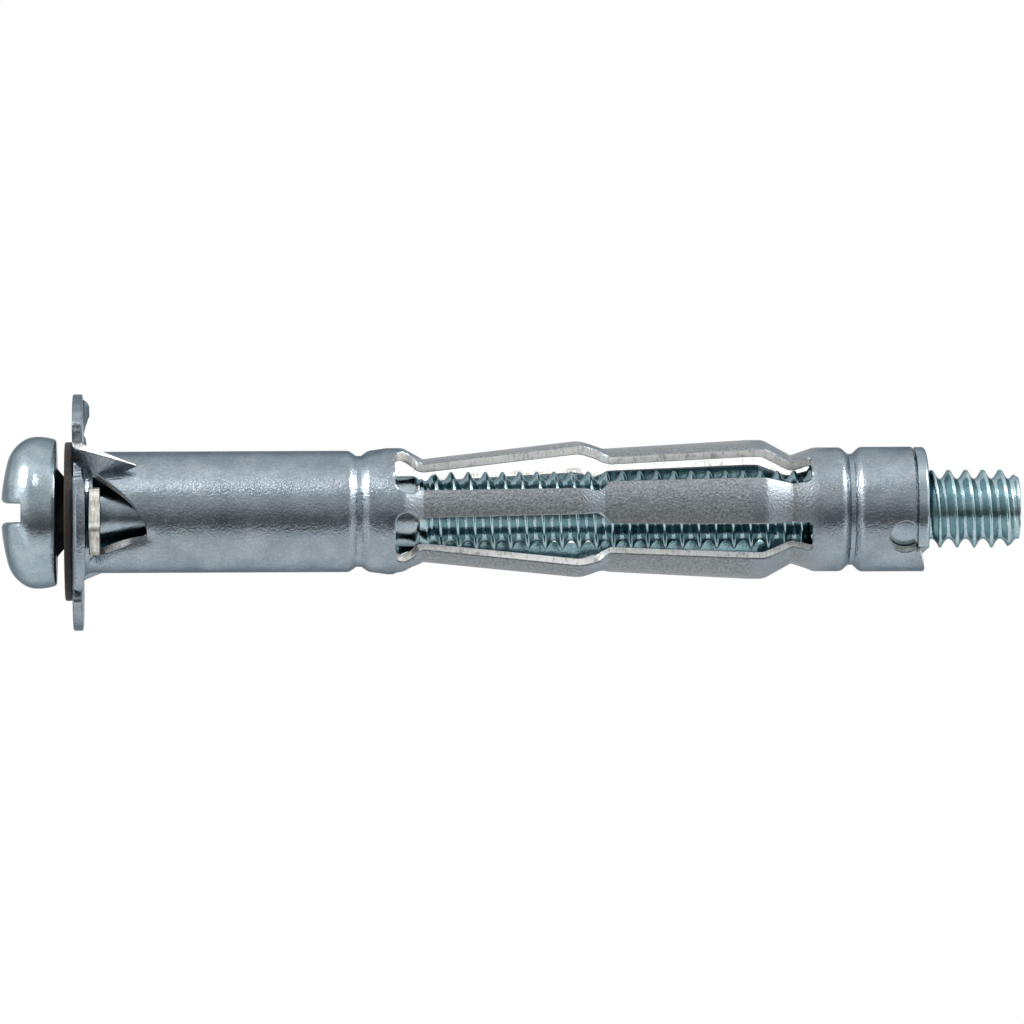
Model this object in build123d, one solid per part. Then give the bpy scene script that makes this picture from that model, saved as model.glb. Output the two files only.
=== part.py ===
from build123d import *
import os
from math import atan2, ceil, cos, degrees, radians, sin, tan

# Hollow wall anchor for plasterboard: a machine screw with its fibre washer, a sleeve
# folded from one steel sheet, and the threaded nut that the sleeve's end is crimped onto.
#
# The screw's axis is +X, from head to tip, and the origin is on that axis at the face of
# the flange that bears on the wall. Angles about the axis are counted from +Y towards +Z.
# The anchor lies with a gap of its flange straight down. Lengths are in mm.

# ---- driving dimensions ------------------------------------------------------------

# screw: a number 10 machine screw with 24 threads to the inch
thread_d = 4.826
screw_length = 59.32           # under the head
shank_length = 22.12           # plain stretch under the head
shank_relief = 0.243           # how far the plain shank lies below the thread's crests
head_d = 9.5
head_height = 3.45
head_side_height = 1.24        # straight side above the underside
head_side_taper = 0.3          # the underside's rim is this far inside the widest part
crown_d = 6.3                  # where the crown turns over into the side
crown_r = 12.0
neck_rise = 0.605              # black neck above the shank
neck_length = 0.5
tip_chamfer = 0.8              # along the screw
tip_chamfer_depth = 0.48
slot_width = 1.15
slot_depth = 1.3
slot_deg = 121.0

# fibre washer, hanging on the shank
washer_d = 9.8
washer_thick = 0.49
washer_play = 0.58             # radial, between its hole and the shank
washer_rest_gap = 0.03         # what is left of that play where it hangs
washer_hang_deg = 211.0
washer_gap = 0.02              # to the flange behind it
head_gap = 0.51                # to the head before it

# nut
thread_clearance = 0.04        # radial, between the screw and the nut's thread crests
nut_wall = 0.357               # round the bore, where the sleeve's groove bites
nut_flat_wall = 0.15           # left of the collar under the sleeve's tab
nut_mouth_wall = 0.1           # left round the bore at the very end
nut_before_groove = 1.1
nut_stand_out = 0.85           # beyond the sleeve's end
nut_edge = 0.2                 # height and width of the collar's chamfer
nut_face_drop = 0.05           # from the chamfer's inner rim to the mouth of the bore
nut_flat_root = 0.7            # how deep the flat starts inside the sleeve
nut_seat_gap = 0.02            # to the sheet round it
nut_collar_gap = 0.08          # to the sleeve's end

# folded sheet of the sleeve
sheet = 0.6
flange_d = 14.6
flange_bend_r = 0.9            # centreline radius where the barrel turns out to the flange
elbow_r = 1.6                  # centreline radius of the elbows

# lengths along the sleeve, one after another from the flange's wall face
to_groove_1 = 17.0             # groove that ends the plain barrel
to_shoulder_1 = 2.2            # ring that carries the legs
to_valley_1 = 1.7              # where the legs start, bent inwards
to_elbow_a = 9.7               # first place where the legs stand out
to_waist = 1.8                 # step between the narrow and the broad part of a leg
to_elbow_b = 9.0               # second place where the legs stand out
to_valley_2 = 2.2              # where the legs end, bent inwards
to_shoulder_2 = 1.5
to_groove_2 = 2.2              # crimp that locks the nut
to_end = 3.85

# height of the sheet's outside there, above that of the plain barrel
groove_depth = 0.32
shoulder_1_rise = 0.15
valley_1_rise = -0.55
elbow_rise = 0.55
waist_rise = 0.05
valley_2_rise = -0.425
shoulder_2_rise = 0.075
end_rise = 0.1

groove_flat = 0.45             # width of a groove's floor
groove_slope = 0.55            # length of each side of a groove
shoulder_flat = 0.9
elbow_flat = 0.9               # short straight top of the second elbow

# legs, and the slots between them
leg_count = 5
first_slot_deg = 77.0
leg_width_start = 1.8
leg_width_elbow = 1.45
leg_width_broad = 2.85
hole_length = 1.36             # round-ended hole across the start of each slot
hole_width = 3.5
step_r = 0.35                  # corners of the slanted step at the waist
step_straight = 0.05           # what the step has beyond its corner radii
slot_end_r = 0.3
slot_end_back = 0.25           # how far the slots end before the far ring

# flange cuts, and the two barbs folded forward from the flange
barb_deg = 78.0                # the second barb is opposite
barb_height = 2.1              # above the barrel, at the flange
barb_length = 3.3
barb_foot = 0.05               # height of its edge above the barrel at the tip
barb_fold_r = 0.45
gap_deg = 24.0                 # open gap that a folded barb leaves in the flange
gap_root_rise = 0.7            # from the barrel to the bottom of that gap
slit_deg = 166.0
slit_open_deg = 4.0
slit_root_rise = 1.05
gap_root_r = 0.12
petal_corner_r = 0.5

# the two tongues struck from the barrel, and the windows that they leave
window_deg = 129.0
window_start_x = 0.65
window_length = 3.3
window_high = 2.65             # from its middle line to the side that the arc starts from
window_low = 2.45              # and to the other side
window_tip_low = 1.05          # the tip is this far to the lower side
window_bulge = 0.65            # of the arc, beside its chord
window_lean = 0.12             # how far the arc's middle is pushed on, as a part of the chord
tongue_thick = 0.62
tongue_gap = 0.45              # from the wall face to the tongue
tongue_width = 4.1
tongue_height = 2.75           # above the barrel
tongue_shoulder = 0.4          # straight height of its sides above the barrel
tongue_tip_width = 1.0
tongue_tip_drop = 0.4
tongue_tip_shift = 0.2

# turned-up rims on parts of the flange: from angle, to angle, height
rim_lips = ((102.0, 162.0, 0.3), (282.0, 342.0, 0.3), (350.0, 377.0, 0.5))
lip_width = 0.55
lip_bevel = 0.1

# tab at the sleeve's far end, between two round reliefs
tab_deg = 206.0
tab_length = 0.53              # beyond the rest of the sleeve
relief_deg = 57.5              # from the tab's middle to the middle of each relief
relief_r = 0.98
relief_from_end = 0.67

flat_turn = 25.0               # arcs of these profiles are short flats that turn no more than this

# ---- values that follow ------------------------------------------------------------

thread_r = thread_d / 2
shank_r = thread_r - shank_relief
bore_r = thread_r + thread_clearance
half_sheet = sheet / 2
barrel_r = bore_r + nut_wall + nut_seat_gap + sheet + groove_depth
flange_r = flange_d / 2

groove_1_x = to_groove_1
shoulder_1_x = groove_1_x + to_shoulder_1
valley_1_x = shoulder_1_x + to_valley_1
elbow_a_x = valley_1_x + to_elbow_a
waist_x = elbow_a_x + to_waist
elbow_b_x = waist_x + to_elbow_b
valley_2_x = elbow_b_x + to_valley_2
shoulder_2_x = valley_2_x + to_shoulder_2
groove_2_x = shoulder_2_x + to_groove_2
sleeve_end_x = groove_2_x + to_end
slot_end_x = shoulder_2_x - slot_end_back
step_length = 2 * step_r + step_straight
washer_back_x = -sheet - washer_gap
head_bearing_x = washer_back_x - washer_thick - head_gap

# room that a cutter takes beyond what it cuts
spare = 1.0
# flat drawing on the +Y side: x along the axis, y towards smaller angles round it
seen_from_outside = Plane(origin=(0, 0, 0), x_dir=(1, 0, 0), z_dir=(0, 1, 0))


def at(angle):
    """Turn a shape that was made on the +Y side to an angle about the screw's axis."""
    return Rot(X=angle)


def across(x):
    """Plane square to the axis, whose own x is +Y and whose own y is +Z."""
    return Plane(origin=(x, 0, 0), x_dir=(0, 1, 0), z_dir=(1, 0, 0))


def turned(outline):
    """Solid of revolution about the axis, from a closed outline of (x, radius) points."""
    return revolve(make_face(Polyline(*outline, close=True)), Axis.X)


def in_flats(line):
    """Points along a line of straights and arcs, with each arc drawn as a few short flats."""
    path = Wire(line.edges())
    points, passed = [], 0
    for edge in path.edges().sort_by(path):
        flats = 1
        if edge.geom_type == GeomType.CIRCLE:
            flats = ceil(degrees(edge.length / edge.radius) / flat_turn)
        steps = [passed + edge.length * i / flats for i in range(flats)]
        points += [path.position_at(step, position_mode=PositionMode.LENGTH) for step in steps]
        passed += edge.length
    return points + [path @ 1]


# ---- sleeve ------------------------------------------------------------------------

def groove(x, near_rise, far_rise):
    """Four creases of a rolled groove between two heights, as (x, rise, bend radius)."""
    near, far = x - groove_flat / 2, x + groove_flat / 2
    return [(near - groove_slope, near_rise, 0), (near, -groove_depth, 0),
            (far, -groove_depth, 0), (far + groove_slope, far_rise, 0)]


def sheet_line():
    """Points of the sheet's middle line, from the flange's rim to beyond the sleeve's end."""
    bends = [(-half_sheet, 0, flange_bend_r)] + groove(groove_1_x, 0, 0) + [
        (shoulder_1_x - shoulder_flat / 2, shoulder_1_rise, 0),
        (shoulder_1_x + shoulder_flat / 2, shoulder_1_rise, 0),
        (valley_1_x, valley_1_rise, 0),
        (elbow_a_x, elbow_rise, elbow_r),
        (waist_x - step_length / 2, waist_rise, 0),
        (elbow_b_x - elbow_flat / 2, elbow_rise, elbow_r),
        (elbow_b_x + elbow_flat / 2, elbow_rise, elbow_r / 2),
        (valley_2_x, valley_2_rise, 0),
        (shoulder_2_x, shoulder_2_rise, 0),
    ] + groove(groove_2_x, shoulder_2_rise, end_rise)
    middle_r = barrel_r - half_sheet
    corners = [(-half_sheet, flange_r)]
    corners += [(x, middle_r + rise) for x, rise, _ in bends]
    corners += [(sleeve_end_x + 2 * spare, middle_r + end_rise)]
    return in_flats(FilletPolyline(*corners, radius=[r for _, _, r in bends]))


def sheet_outline(points):
    """Corners of the sheet's section round its middle line, mitred where the line turns."""
    runs = [(b - a).normalized() for a, b in zip(points, points[1:])]
    outside, inside = [], []
    for point, before, after in zip(points, runs[:1] + runs, runs + runs[-1:]):
        mitre = (before + after).rotate(Axis.Z, 90) * (half_sheet / (1 + before.dot(after)))
        outside.append(point + mitre)
        inside.append(point - mitre)
    return outside + inside[::-1]


def sleeve_shell():
    """The folded sheet before it is slotted: flange, barrel, grooves and leg bends."""
    return turned(sheet_outline(sheet_line()))


def slot_half_angle(leg_width, rise):
    """Half the angle between two legs of a given width, at a given height of the sheet."""
    return 180 / leg_count - degrees(leg_width / 2 / (barrel_r + rise))


def slot_side():
    """One side of a slot, cut square to the sheet there, as a prism that points outwards.

    The outline is drawn flat, with y counted from the wall away from the slot's middle."""
    wall_deg = slot_half_angle(leg_width_start, valley_1_rise)
    inner_y = -(barrel_r + elbow_rise + spare) * sin(radians(wall_deg / 2))

    def wall_y(leg_width, rise):
        turn = slot_half_angle(leg_width, rise) - wall_deg
        return (barrel_r + rise - half_sheet) * sin(radians(turn))

    hole_middle_x = shoulder_1_x + hole_length / 2
    hole_y = (barrel_r - half_sheet) * sin(hole_width / 2 / barrel_r - radians(wall_deg))
    narrow_y = wall_y(leg_width_elbow, (waist_rise + elbow_rise) / 2)
    broad_y = wall_y(leg_width_broad, (waist_rise + elbow_rise) / 2)
    side = FilletPolyline(
        (hole_middle_x, inner_y), (hole_middle_x, 0), (waist_x - step_length, narrow_y),
        (waist_x, broad_y), (slot_end_x, broad_y), (slot_end_x, inner_y),
        radius=[0, step_r, step_r, slot_end_r])
    gap = make_face(side + Line(side @ 1, side @ 0))
    hole = Pos(hole_middle_x, inner_y) * SlotOverall(2 * (hole_y - inner_y), hole_length, rotation=90)
    prism = extrude(seen_from_outside * (gap + hole), 2 * barrel_r)
    return at(-wall_deg) * prism, inner_y


def slot_cutter():
    """One gap between two legs: a round-ended hole, a wide stretch and a narrow one."""
    side, inner_y = slot_side()
    middle = Pos(shoulder_1_x, 0, 0) * Box(
        slot_end_x - shoulder_1_x, 2 * barrel_r, -2 * inner_y, align=(Align.MIN, Align.MIN, Align.CENTER))
    return middle + side + mirror(side, Plane.XY)


def petal_gap(start, end, root_r, start_offset=0.0):
    """Gap between two petals of the flange, from angle to angle, with rounded corners."""
    mouth = 3 * petal_corner_r

    def point(angle, radius, sideways):
        along_y, along_z = cos(radians(angle)), sin(radians(angle))
        return (radius * along_y - sideways * along_z, radius * along_z + sideways * along_y)

    outline = FilletPolyline(
        point(start, root_r, start_offset), point(start, flange_r, start_offset),
        point(start, flange_r, start_offset - mouth), point(start, flange_r + spare, start_offset - mouth),
        point(end, flange_r + spare, mouth), point(end, flange_r, mouth),
        point(end, flange_r, 0), point(end, root_r, 0),
        radius=[gap_root_r, petal_corner_r, 0, 0, 0, 0, petal_corner_r, gap_root_r], close=True)
    return extrude(across(-sheet - spare) * make_face(outline), sheet + 2 * spare)


def barb():
    """Pointed fin folded forward from the flange, its edge against the barrel."""
    root_r, top_r = barrel_r - half_sheet, barrel_r + barb_height
    outline = Polyline((-sheet, root_r), (-sheet, top_r), (0, top_r),
                       (barb_length, barrel_r + barb_foot), (barb_length, root_r), close=True)
    return extrude(Plane.XY * make_face(outline), half_sheet, both=True)


def fold_rounding():
    """What the outside of a barb's fold lacks from a square corner."""
    corner = Pos(-sheet, -half_sheet) * Rectangle(barb_fold_r, barb_fold_r, align=(Align.MIN, Align.MIN))
    corner -= Pos(barb_fold_r - sheet, barb_fold_r - half_sheet) * Circle(barb_fold_r)
    root_r = barrel_r + gap_root_rise
    return extrude(seen_from_outside.offset(root_r) * corner, barb_height - gap_root_rise)


def window_cutter():
    """Opening that a struck tongue leaves in the barrel: a shark's fin, seen from outside."""
    top, tip = Vector(window_start_x, window_high), Vector(window_start_x + window_length, -window_tip_low)
    chord = tip - top
    beside = chord.rotate(Axis.Z, 90).normalized()
    crown = top + chord * (0.5 + window_lean) + beside * window_bulge
    outline = ThreePointArc(top, crown, tip)
    outline += Polyline(tip, (window_start_x, -window_low), top)
    return extrude(seen_from_outside * make_face(outline), barrel_r + spare)


def tongue():
    """Tongue struck from the barrel and stood up behind the flange."""
    half, tip_half, shift = tongue_width / 2, tongue_tip_width / 2, tongue_tip_shift
    root_r, side_r, tip_r = barrel_r - half_sheet, barrel_r + tongue_shoulder, barrel_r + tongue_height
    outline = Polyline(
        (root_r, -half), (side_r, -half), (tip_r - tongue_tip_drop, shift - tip_half), (tip_r, shift),
        (tip_r - tongue_tip_drop, shift + tip_half), (side_r, half), (root_r, half), close=True)
    return extrude(across(tongue_gap) * make_face(outline), tongue_thick)


def rim_lip(start, end, height):
    """Turned-up edge on part of the flange's rim."""
    inner_r = flange_r - lip_width
    section = Polyline((-half_sheet, inner_r), (height, inner_r + lip_bevel),
                       (height, flange_r - lip_bevel), (-half_sheet, flange_r), close=True)
    return at(start) * revolve(make_face(section), Axis.X, end - start)


def past_end():
    """Everything past the sleeve's end, except for the tab that lies over the nut's flat."""
    span = 3 * barrel_r
    slab = Pos(sleeve_end_x, 0, 0) * Box(span, span, span, align=(Align.MIN, Align.CENTER, Align.CENTER))
    tab = Pos(sleeve_end_x, bore_r + nut_flat_wall + nut_collar_gap, 0) * Box(
        tab_length, span, span, align=(Align.MIN, Align.MIN, Align.CENTER))
    return slab - at(tab_deg) * tab


def end_relief(side_deg):
    """Round cut beside the tab, drilled from outside at the sleeve's end."""
    drill = Rot(X=-90) * Cylinder(relief_r, 2 * barrel_r, align=(Align.CENTER, Align.CENTER, Align.MIN))
    return at(tab_deg + side_deg) * Pos(sleeve_end_x - relief_from_end, 0, 0) * drill


def make_sleeve():
    slot = slot_cutter()
    body = sleeve_shell() - [at(first_slot_deg + i * 360 / leg_count) * slot for i in range(leg_count)]
    half_slit = slit_open_deg / 2
    for opposite in (0, 180):
        body -= at(barb_deg + opposite) * petal_gap(0, gap_deg, barrel_r + gap_root_rise, half_sheet)
        body -= at(slit_deg + opposite) * petal_gap(-half_slit, half_slit, barrel_r + slit_root_rise)
        body -= at(window_deg + opposite) * window_cutter()
        body += at(barb_deg + opposite) * barb()
        body -= at(barb_deg + opposite) * fold_rounding()
        body += at(window_deg + opposite) * tongue()
    for start, end, height in rim_lips:
        body += rim_lip(start, end, height)
    return body - past_end() - end_relief(-relief_deg) - end_relief(relief_deg)


# ---- screw, washer and nut ---------------------------------------------------------

def make_screw():
    """Slotted pan head, black neck, plain shank and thread (its ridges aren't cut here)."""
    crown_x, tip_x = head_bearing_x - head_height, head_bearing_x + screw_length
    head_r, thread_start_x = head_d / 2, head_bearing_x + shank_length

    def crown_point(radius):
        return (crown_x + crown_r - (crown_r ** 2 - radius ** 2) ** 0.5, radius)

    crown = ThreePointArc((crown_x, 0), crown_point(crown_d / 4), crown_point(crown_d / 2))
    shoulder = TangentArc(crown @ 1, (head_bearing_x - head_side_height, head_r), tangent=crown % 1)
    outline = crown + Polyline(*in_flats(shoulder)) + Polyline(
        shoulder @ 1, (head_bearing_x, head_r - head_side_taper),
        (head_bearing_x, shank_r + neck_rise), (head_bearing_x + neck_length, shank_r),
        (thread_start_x, shank_r), (thread_start_x + shank_relief, thread_r),
        (tip_x - tip_chamfer, thread_r), (tip_x, thread_r - tip_chamfer_depth),
        (tip_x, 0), (crown_x, 0))
    body = revolve(make_face(outline), Axis.X)
    slot = Pos(crown_x, 0, 0) * Box(2 * slot_depth, 2 * head_d, slot_width)
    return body - at(slot_deg) * slot


def make_fibre_washer():
    hole_r = shank_r + washer_play
    disc = Cylinder(washer_d / 2, washer_thick) - Cylinder(hole_r, washer_thick)
    place = Pos(washer_back_x - washer_thick / 2, washer_play - washer_rest_gap, 0) * Rot(Y=90)
    return at(washer_hang_deg) * place * disc


def make_nut():
    """Insert inside the sleeve's end: body, crimped groove and collar with one flat."""
    sink = sheet + nut_seat_gap
    floor_r, body_r = barrel_r - groove_depth - sink, barrel_r + end_rise - sink
    lean = atan2(body_r - floor_r, groove_slope)
    groove_end_x = groove_2_x + groove_flat / 2 + sink * tan(lean / 2) + nut_seat_gap
    body_start_x = groove_end_x + groove_slope + sheet * tan(lean / 2)
    mouth_x, collar_r = sleeve_end_x + nut_stand_out, barrel_r + end_rise - nut_seat_gap
    rim_x = mouth_x - nut_face_drop
    body = turned([
        (groove_2_x - nut_before_groove, bore_r), (groove_2_x - nut_before_groove, floor_r),
        (groove_end_x, floor_r), (body_start_x, body_r),
        (rim_x - nut_edge, body_r), (rim_x - nut_edge, bore_r)])
    collar = turned([
        (sleeve_end_x + nut_collar_gap, bore_r), (sleeve_end_x + nut_collar_gap, collar_r),
        (rim_x - nut_edge, collar_r), (rim_x, collar_r - nut_edge),
        (mouth_x, bore_r + nut_mouth_wall), (mouth_x, bore_r)])
    under_tab = Pos(sleeve_end_x - nut_flat_root, bore_r + nut_flat_wall, 0) * Box(
        nut_flat_root + nut_stand_out, 2 * collar_r, 2 * collar_r,
        align=(Align.MIN, Align.MIN, Align.CENTER))
    return body + collar - at(tab_deg) * under_tab


# ---- write one file for each piece -------------------------------------------------

pieces = {
    "sleeve": make_sleeve(),
    "screw": make_screw(),
    "fibre_washer": make_fibre_washer(),
    "nut": make_nut(),
}
os.makedirs("parts", exist_ok=True)
for name, piece in pieces.items():
    export_step(piece, f"parts/{name}.step")
    print(f"{name}: {len(piece.solids())} solid, {piece.volume:.1f} mm3")
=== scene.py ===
# %% [markdown]
# # A hollow wall anchor
# The anchor is a machine screw in a slotted sheet-steel sleeve that folds up behind a board. Its
# sizes come from its solid model, which is loaded here and never moved. This lesson gives each
# piece its finished surface: a sleeve formed from a flat blank, a screw with a true rolled thread,
# a fibre washer and the threaded nut.

# %% Load the solid model
import math

import bmesh
import bpy
import numpy as np
from mathutils import Matrix, Vector, geometry


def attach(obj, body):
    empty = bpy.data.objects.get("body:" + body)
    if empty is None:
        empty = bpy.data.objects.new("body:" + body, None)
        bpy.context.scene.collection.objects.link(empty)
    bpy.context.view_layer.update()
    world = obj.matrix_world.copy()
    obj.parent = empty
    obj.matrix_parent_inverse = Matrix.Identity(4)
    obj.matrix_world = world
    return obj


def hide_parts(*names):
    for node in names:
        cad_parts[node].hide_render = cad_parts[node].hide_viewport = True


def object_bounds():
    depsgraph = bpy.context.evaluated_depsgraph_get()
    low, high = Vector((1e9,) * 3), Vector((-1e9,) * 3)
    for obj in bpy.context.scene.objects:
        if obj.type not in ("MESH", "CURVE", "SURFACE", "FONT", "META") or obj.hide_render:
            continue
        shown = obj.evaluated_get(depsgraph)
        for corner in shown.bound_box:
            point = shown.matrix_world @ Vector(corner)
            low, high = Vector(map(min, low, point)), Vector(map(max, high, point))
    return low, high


MM = 0.001                     # Blender works in metres, and this lesson's sizes are in mm
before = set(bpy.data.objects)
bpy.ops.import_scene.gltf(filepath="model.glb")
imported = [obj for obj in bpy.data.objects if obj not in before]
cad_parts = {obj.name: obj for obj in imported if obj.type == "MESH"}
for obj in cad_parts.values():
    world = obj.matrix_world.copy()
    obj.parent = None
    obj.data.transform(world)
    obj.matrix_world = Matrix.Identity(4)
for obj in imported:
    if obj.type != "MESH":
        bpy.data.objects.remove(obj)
solid_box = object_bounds()
print("pieces in the solid model:", sorted(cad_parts))

# %% [markdown]
# ## Camera
# A macro lens half a metre away, 59 degrees above the horizon and square to the screw. It could be
# turned towards the anchor's middle, but that would draw the two ends at different sizes. So it
# stands opposite the plain barrel, and the lens is shifted sideways to frame the whole anchor.

# %% Camera
VIEW_ELEVATION = 59.0
VIEW_ROLL = 0.25
VIEW_WIDTH = 63.2 * MM         # what the frame spans at the screw's axis
VIEW_DISTANCE = 475 * MM
LENS_OPPOSITE_X = 8.0 * MM
VIEW_CENTRE_X = 26.47 * MM
SENSOR = 36.0

lens = bpy.data.cameras.new("macro_lens")
lens.sensor_width = SENSOR
lens.lens = SENSOR * VIEW_DISTANCE / VIEW_WIDTH
lens.shift_x = (VIEW_CENTRE_X - LENS_OPPOSITE_X) / VIEW_WIDTH
lens.clip_start = 0.1
lens.clip_end = 10.0
camera = bpy.data.objects.new("camera", lens)
bpy.context.collection.objects.link(camera)
up_angle = math.radians(VIEW_ELEVATION)
back = Vector((0, -math.cos(up_angle), math.sin(up_angle)))
roll = Matrix.Rotation(math.radians(VIEW_ROLL), 4, back).to_quaternion()
camera.rotation_mode = "QUATERNION"
camera.rotation_quaternion = roll.inverted() @ (-back).to_track_quat("-Z", "Y")
camera.location = Vector((LENS_OPPOSITE_X, 0, 0)) + back * VIEW_DISTANCE
bpy.context.scene.camera = camera
print(f"lens {lens.lens:.0f} mm at {VIEW_DISTANCE:.2f} m")

# %% [markdown]
# ## Helpers for nodes
# Every material and every rule for a shape below is a tree of nodes. One function adds any node, so
# that a step reads as a list of what flows into what. Colours are written as on a paint chart, in
# sRGB hex, and shaders want them linear.

# %% Colours and nodes
def linear(code):
    """Turn an sRGB hex colour into the linear colour that a shader wants."""
    channels = [int(code[i:i + 2], 16) / 255 for i in (1, 3, 5)]
    return [c / 12.92 if c <= 0.04045 else ((c + 0.055) / 1.055) ** 2.4 for c in channels] + [1.0]


def feed(node, *values, **named):
    """Set inputs, given in their order, by name, or by number as i4, or link them.

    A node that is given as a value stands for its first output.
    """
    for name, value in [(f"i{i}", value) for i, value in enumerate(values)] + list(named.items()):
        by_number = name[1:].isdigit()
        socket = node.inputs[int(name[1:]) if by_number else name.replace("_", " ")]
        if isinstance(value, bpy.types.Node):
            value = value.outputs[0]
        if isinstance(value, bpy.types.NodeSocket):
            node.id_data.links.new(value, socket)
        else:
            socket.default_value = value
    return node


def add(tree, kind, settings=None, *values, **named):
    """Add a node, set its properties and feed its inputs.

    The stops of a colour ramp are pairs of a place and a hex colour or a brightness.
    """
    node = tree.nodes.new(kind)
    for name, value in (settings or {}).items():
        if name != "stops":
            setattr(node, name, value)
            continue
        elements = node.color_ramp.elements
        while len(elements) < len(value):
            elements.new(0.5)
        for element, (place, tone) in zip(elements, value):
            element.position = place
            element.color = linear(tone) if isinstance(tone, str) else [tone] * 3 + [1]
    return feed(node, *values, **named)


def new_material(name):
    """A material with its node tree and its Principled shader."""
    material = bpy.data.materials.new(name)
    material.use_nodes = True
    tree = material.node_tree
    return material, tree, tree.nodes["Principled BSDF"]


# %% [markdown]
# ## Zinc plating
# Sleeve, screw and nut are mild steel, barrel-plated with a few thousandths of a millimetre of zinc
# and passivated a little blue. The eye gets a soft grey metal with faint clouds from the bath and a
# fine grain from tumbling against other anchors. A painted texture would blur in close view, so
# both come from noise, with their sizes in mm, and the same tree serves every plated surface.

# %% A plated metal
def plated_metal(name, colours, rough, cloud, grain, sparkle, edge_tint="#8f979c", streak=1.0):
    """Zinc with clouds of tone and a fine grain, both sized in mm, the grain drawn out along y and z."""
    material, tree, shader = new_material(name)
    place = add(tree, "ShaderNodeTexCoord").outputs["Object"]
    clouds = add(tree, "ShaderNodeTexNoise", Vector=place, Scale=1 / (cloud * MM), Detail=3.0,
                 Roughness=0.6)
    drawn_out = add(tree, "ShaderNodeMapping", Vector=place, Scale=(1.0, 1 / streak, 1 / streak))
    grains = add(tree, "ShaderNodeTexNoise", Vector=drawn_out, Scale=1 / (grain * MM), Detail=2.0,
                 Roughness=0.6)
    mixed = add(tree, "ShaderNodeMix", i0=0.4, i2=clouds, i3=grains)
    tone = add(tree, "ShaderNodeValToRGB", {"stops": colours}, mixed)
    gloss = add(tree, "ShaderNodeMapRange", None, clouds, 0.3, 0.7, *rough)
    coarse = add(tree, "ShaderNodeBump", Height=clouds, Strength=0.25, Distance=0.05 * MM)
    fine = add(tree, "ShaderNodeBump", Height=grains, Strength=sparkle, Distance=0.02 * MM, Normal=coarse)
    feed(shader, Base_Color=tone, Roughness=gloss, Normal=fine, Metallic=1.0,
         Specular_Tint=linear(edge_tint))
    return material


# %% The plated finishes
# strip steel, plated: the rolled skin stays fairly smooth, so it mirrors the room softly
zinc_sheet = plated_metal("zinc_plated_sheet", [(0.35, "#86919a"), (0.5, "#949fa8"), (0.65, "#a5aeb5")],
                          rough=(0.17, 0.26), cloud=1.6, grain=0.14, sparkle=1.4)
# the same strip inside the sleeve, glossier because nothing has rubbed it; its darker, more teal tone is
# painted shade inside the tube
zinc_inside_painted_shade = plated_metal("zinc_inside_painted_darker", [(0.35, "#6a878f"), (0.5, "#7b99a1"), (0.65, "#93aeb5")],
                           rough=(0.10, 0.18), cloud=1.6, grain=0.14, sparkle=0.4)
# sheared edges: torn steel under zinc, matt, with marks that run across the sheet; the near-white tone is
# partly painted light, raised past the metal's own to stand in for the bright light the edges catch
zinc_edge_painted_bright = plated_metal("zinc_cut_edge_painted_bright", [(0.36, "#bcbdba"), (0.48, "#efefec"), (0.65, "#fdfdfb")],
                         rough=(0.4, 0.55), cloud=0.5, grain=0.1, sparkle=1.2, edge_tint="#eeeeea",
                         streak=5.0)
# edges struck by a punch: drawn out in long cream streaks
zinc_struck = plated_metal("zinc_struck_edge", [(0.36, "#8d8b7d"), (0.5, "#c6c4b8"), (0.64, "#f1f0e8")],
                           rough=(0.32, 0.45), cloud=0.9, grain=0.07, sparkle=0.9, edge_tint="#eeeeea",
                           streak=14.0)
# cold-headed wire, plated: brighter and smoother than strip
zinc_screw = plated_metal("zinc_plated_screw", [(0.35, "#8c9da6"), (0.5, "#9eadb5"), (0.65, "#b0bcc2")],
                          rough=(0.14, 0.22), cloud=1.2, grain=0.12, sparkle=0.5)
# the rolled thread, burnished by its dies
zinc_thread = plated_metal("zinc_plated_thread", [(0.35, "#94b1b8"), (0.5, "#a9c2c8"), (0.65, "#bfd2d6")],
                           rough=(0.14, 0.22), cloud=0.8, grain=0.12, sparkle=0.5)
print("plated finishes:", [m.name for m in bpy.data.materials if m.name.startswith("zinc")])

# %% [markdown]
# ## Scuffed legs
# The tool that bends the legs outwards presses hard on their flats, so these are duller and darker
# than the barrel, and their bends stay brighter. That could be a second material with a hard border,
# but the wear fades in over half a millimetre. So the sheet's own material is changed along x.

# %% Scuffs along the sleeve
SCUFF_SPAN = 60.0              # mm of the screw's axis that the list below is drawn over
SCUFF_GRAIN = 0.16
SCUFFED = [(19.4, 0.0), (19.8, 0.21586), (20.7, 0.31855), (20.9, 1.0), (30.6, 1.0), (31.1, 0.31855),
           (32.1, 0.31855), (32.4, 1.0), (40.8, 1.0), (41.3, 0.4452), (43.4, 0.4452), (43.6, 1.0),
           (46.0, 0.0331)]
SCUFF_TONES = [(0.3, "#686d71"), (0.5, "#83898d"), (0.7, "#a0a6a9")]
SCUFF_ROUGH = 0.42


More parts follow.
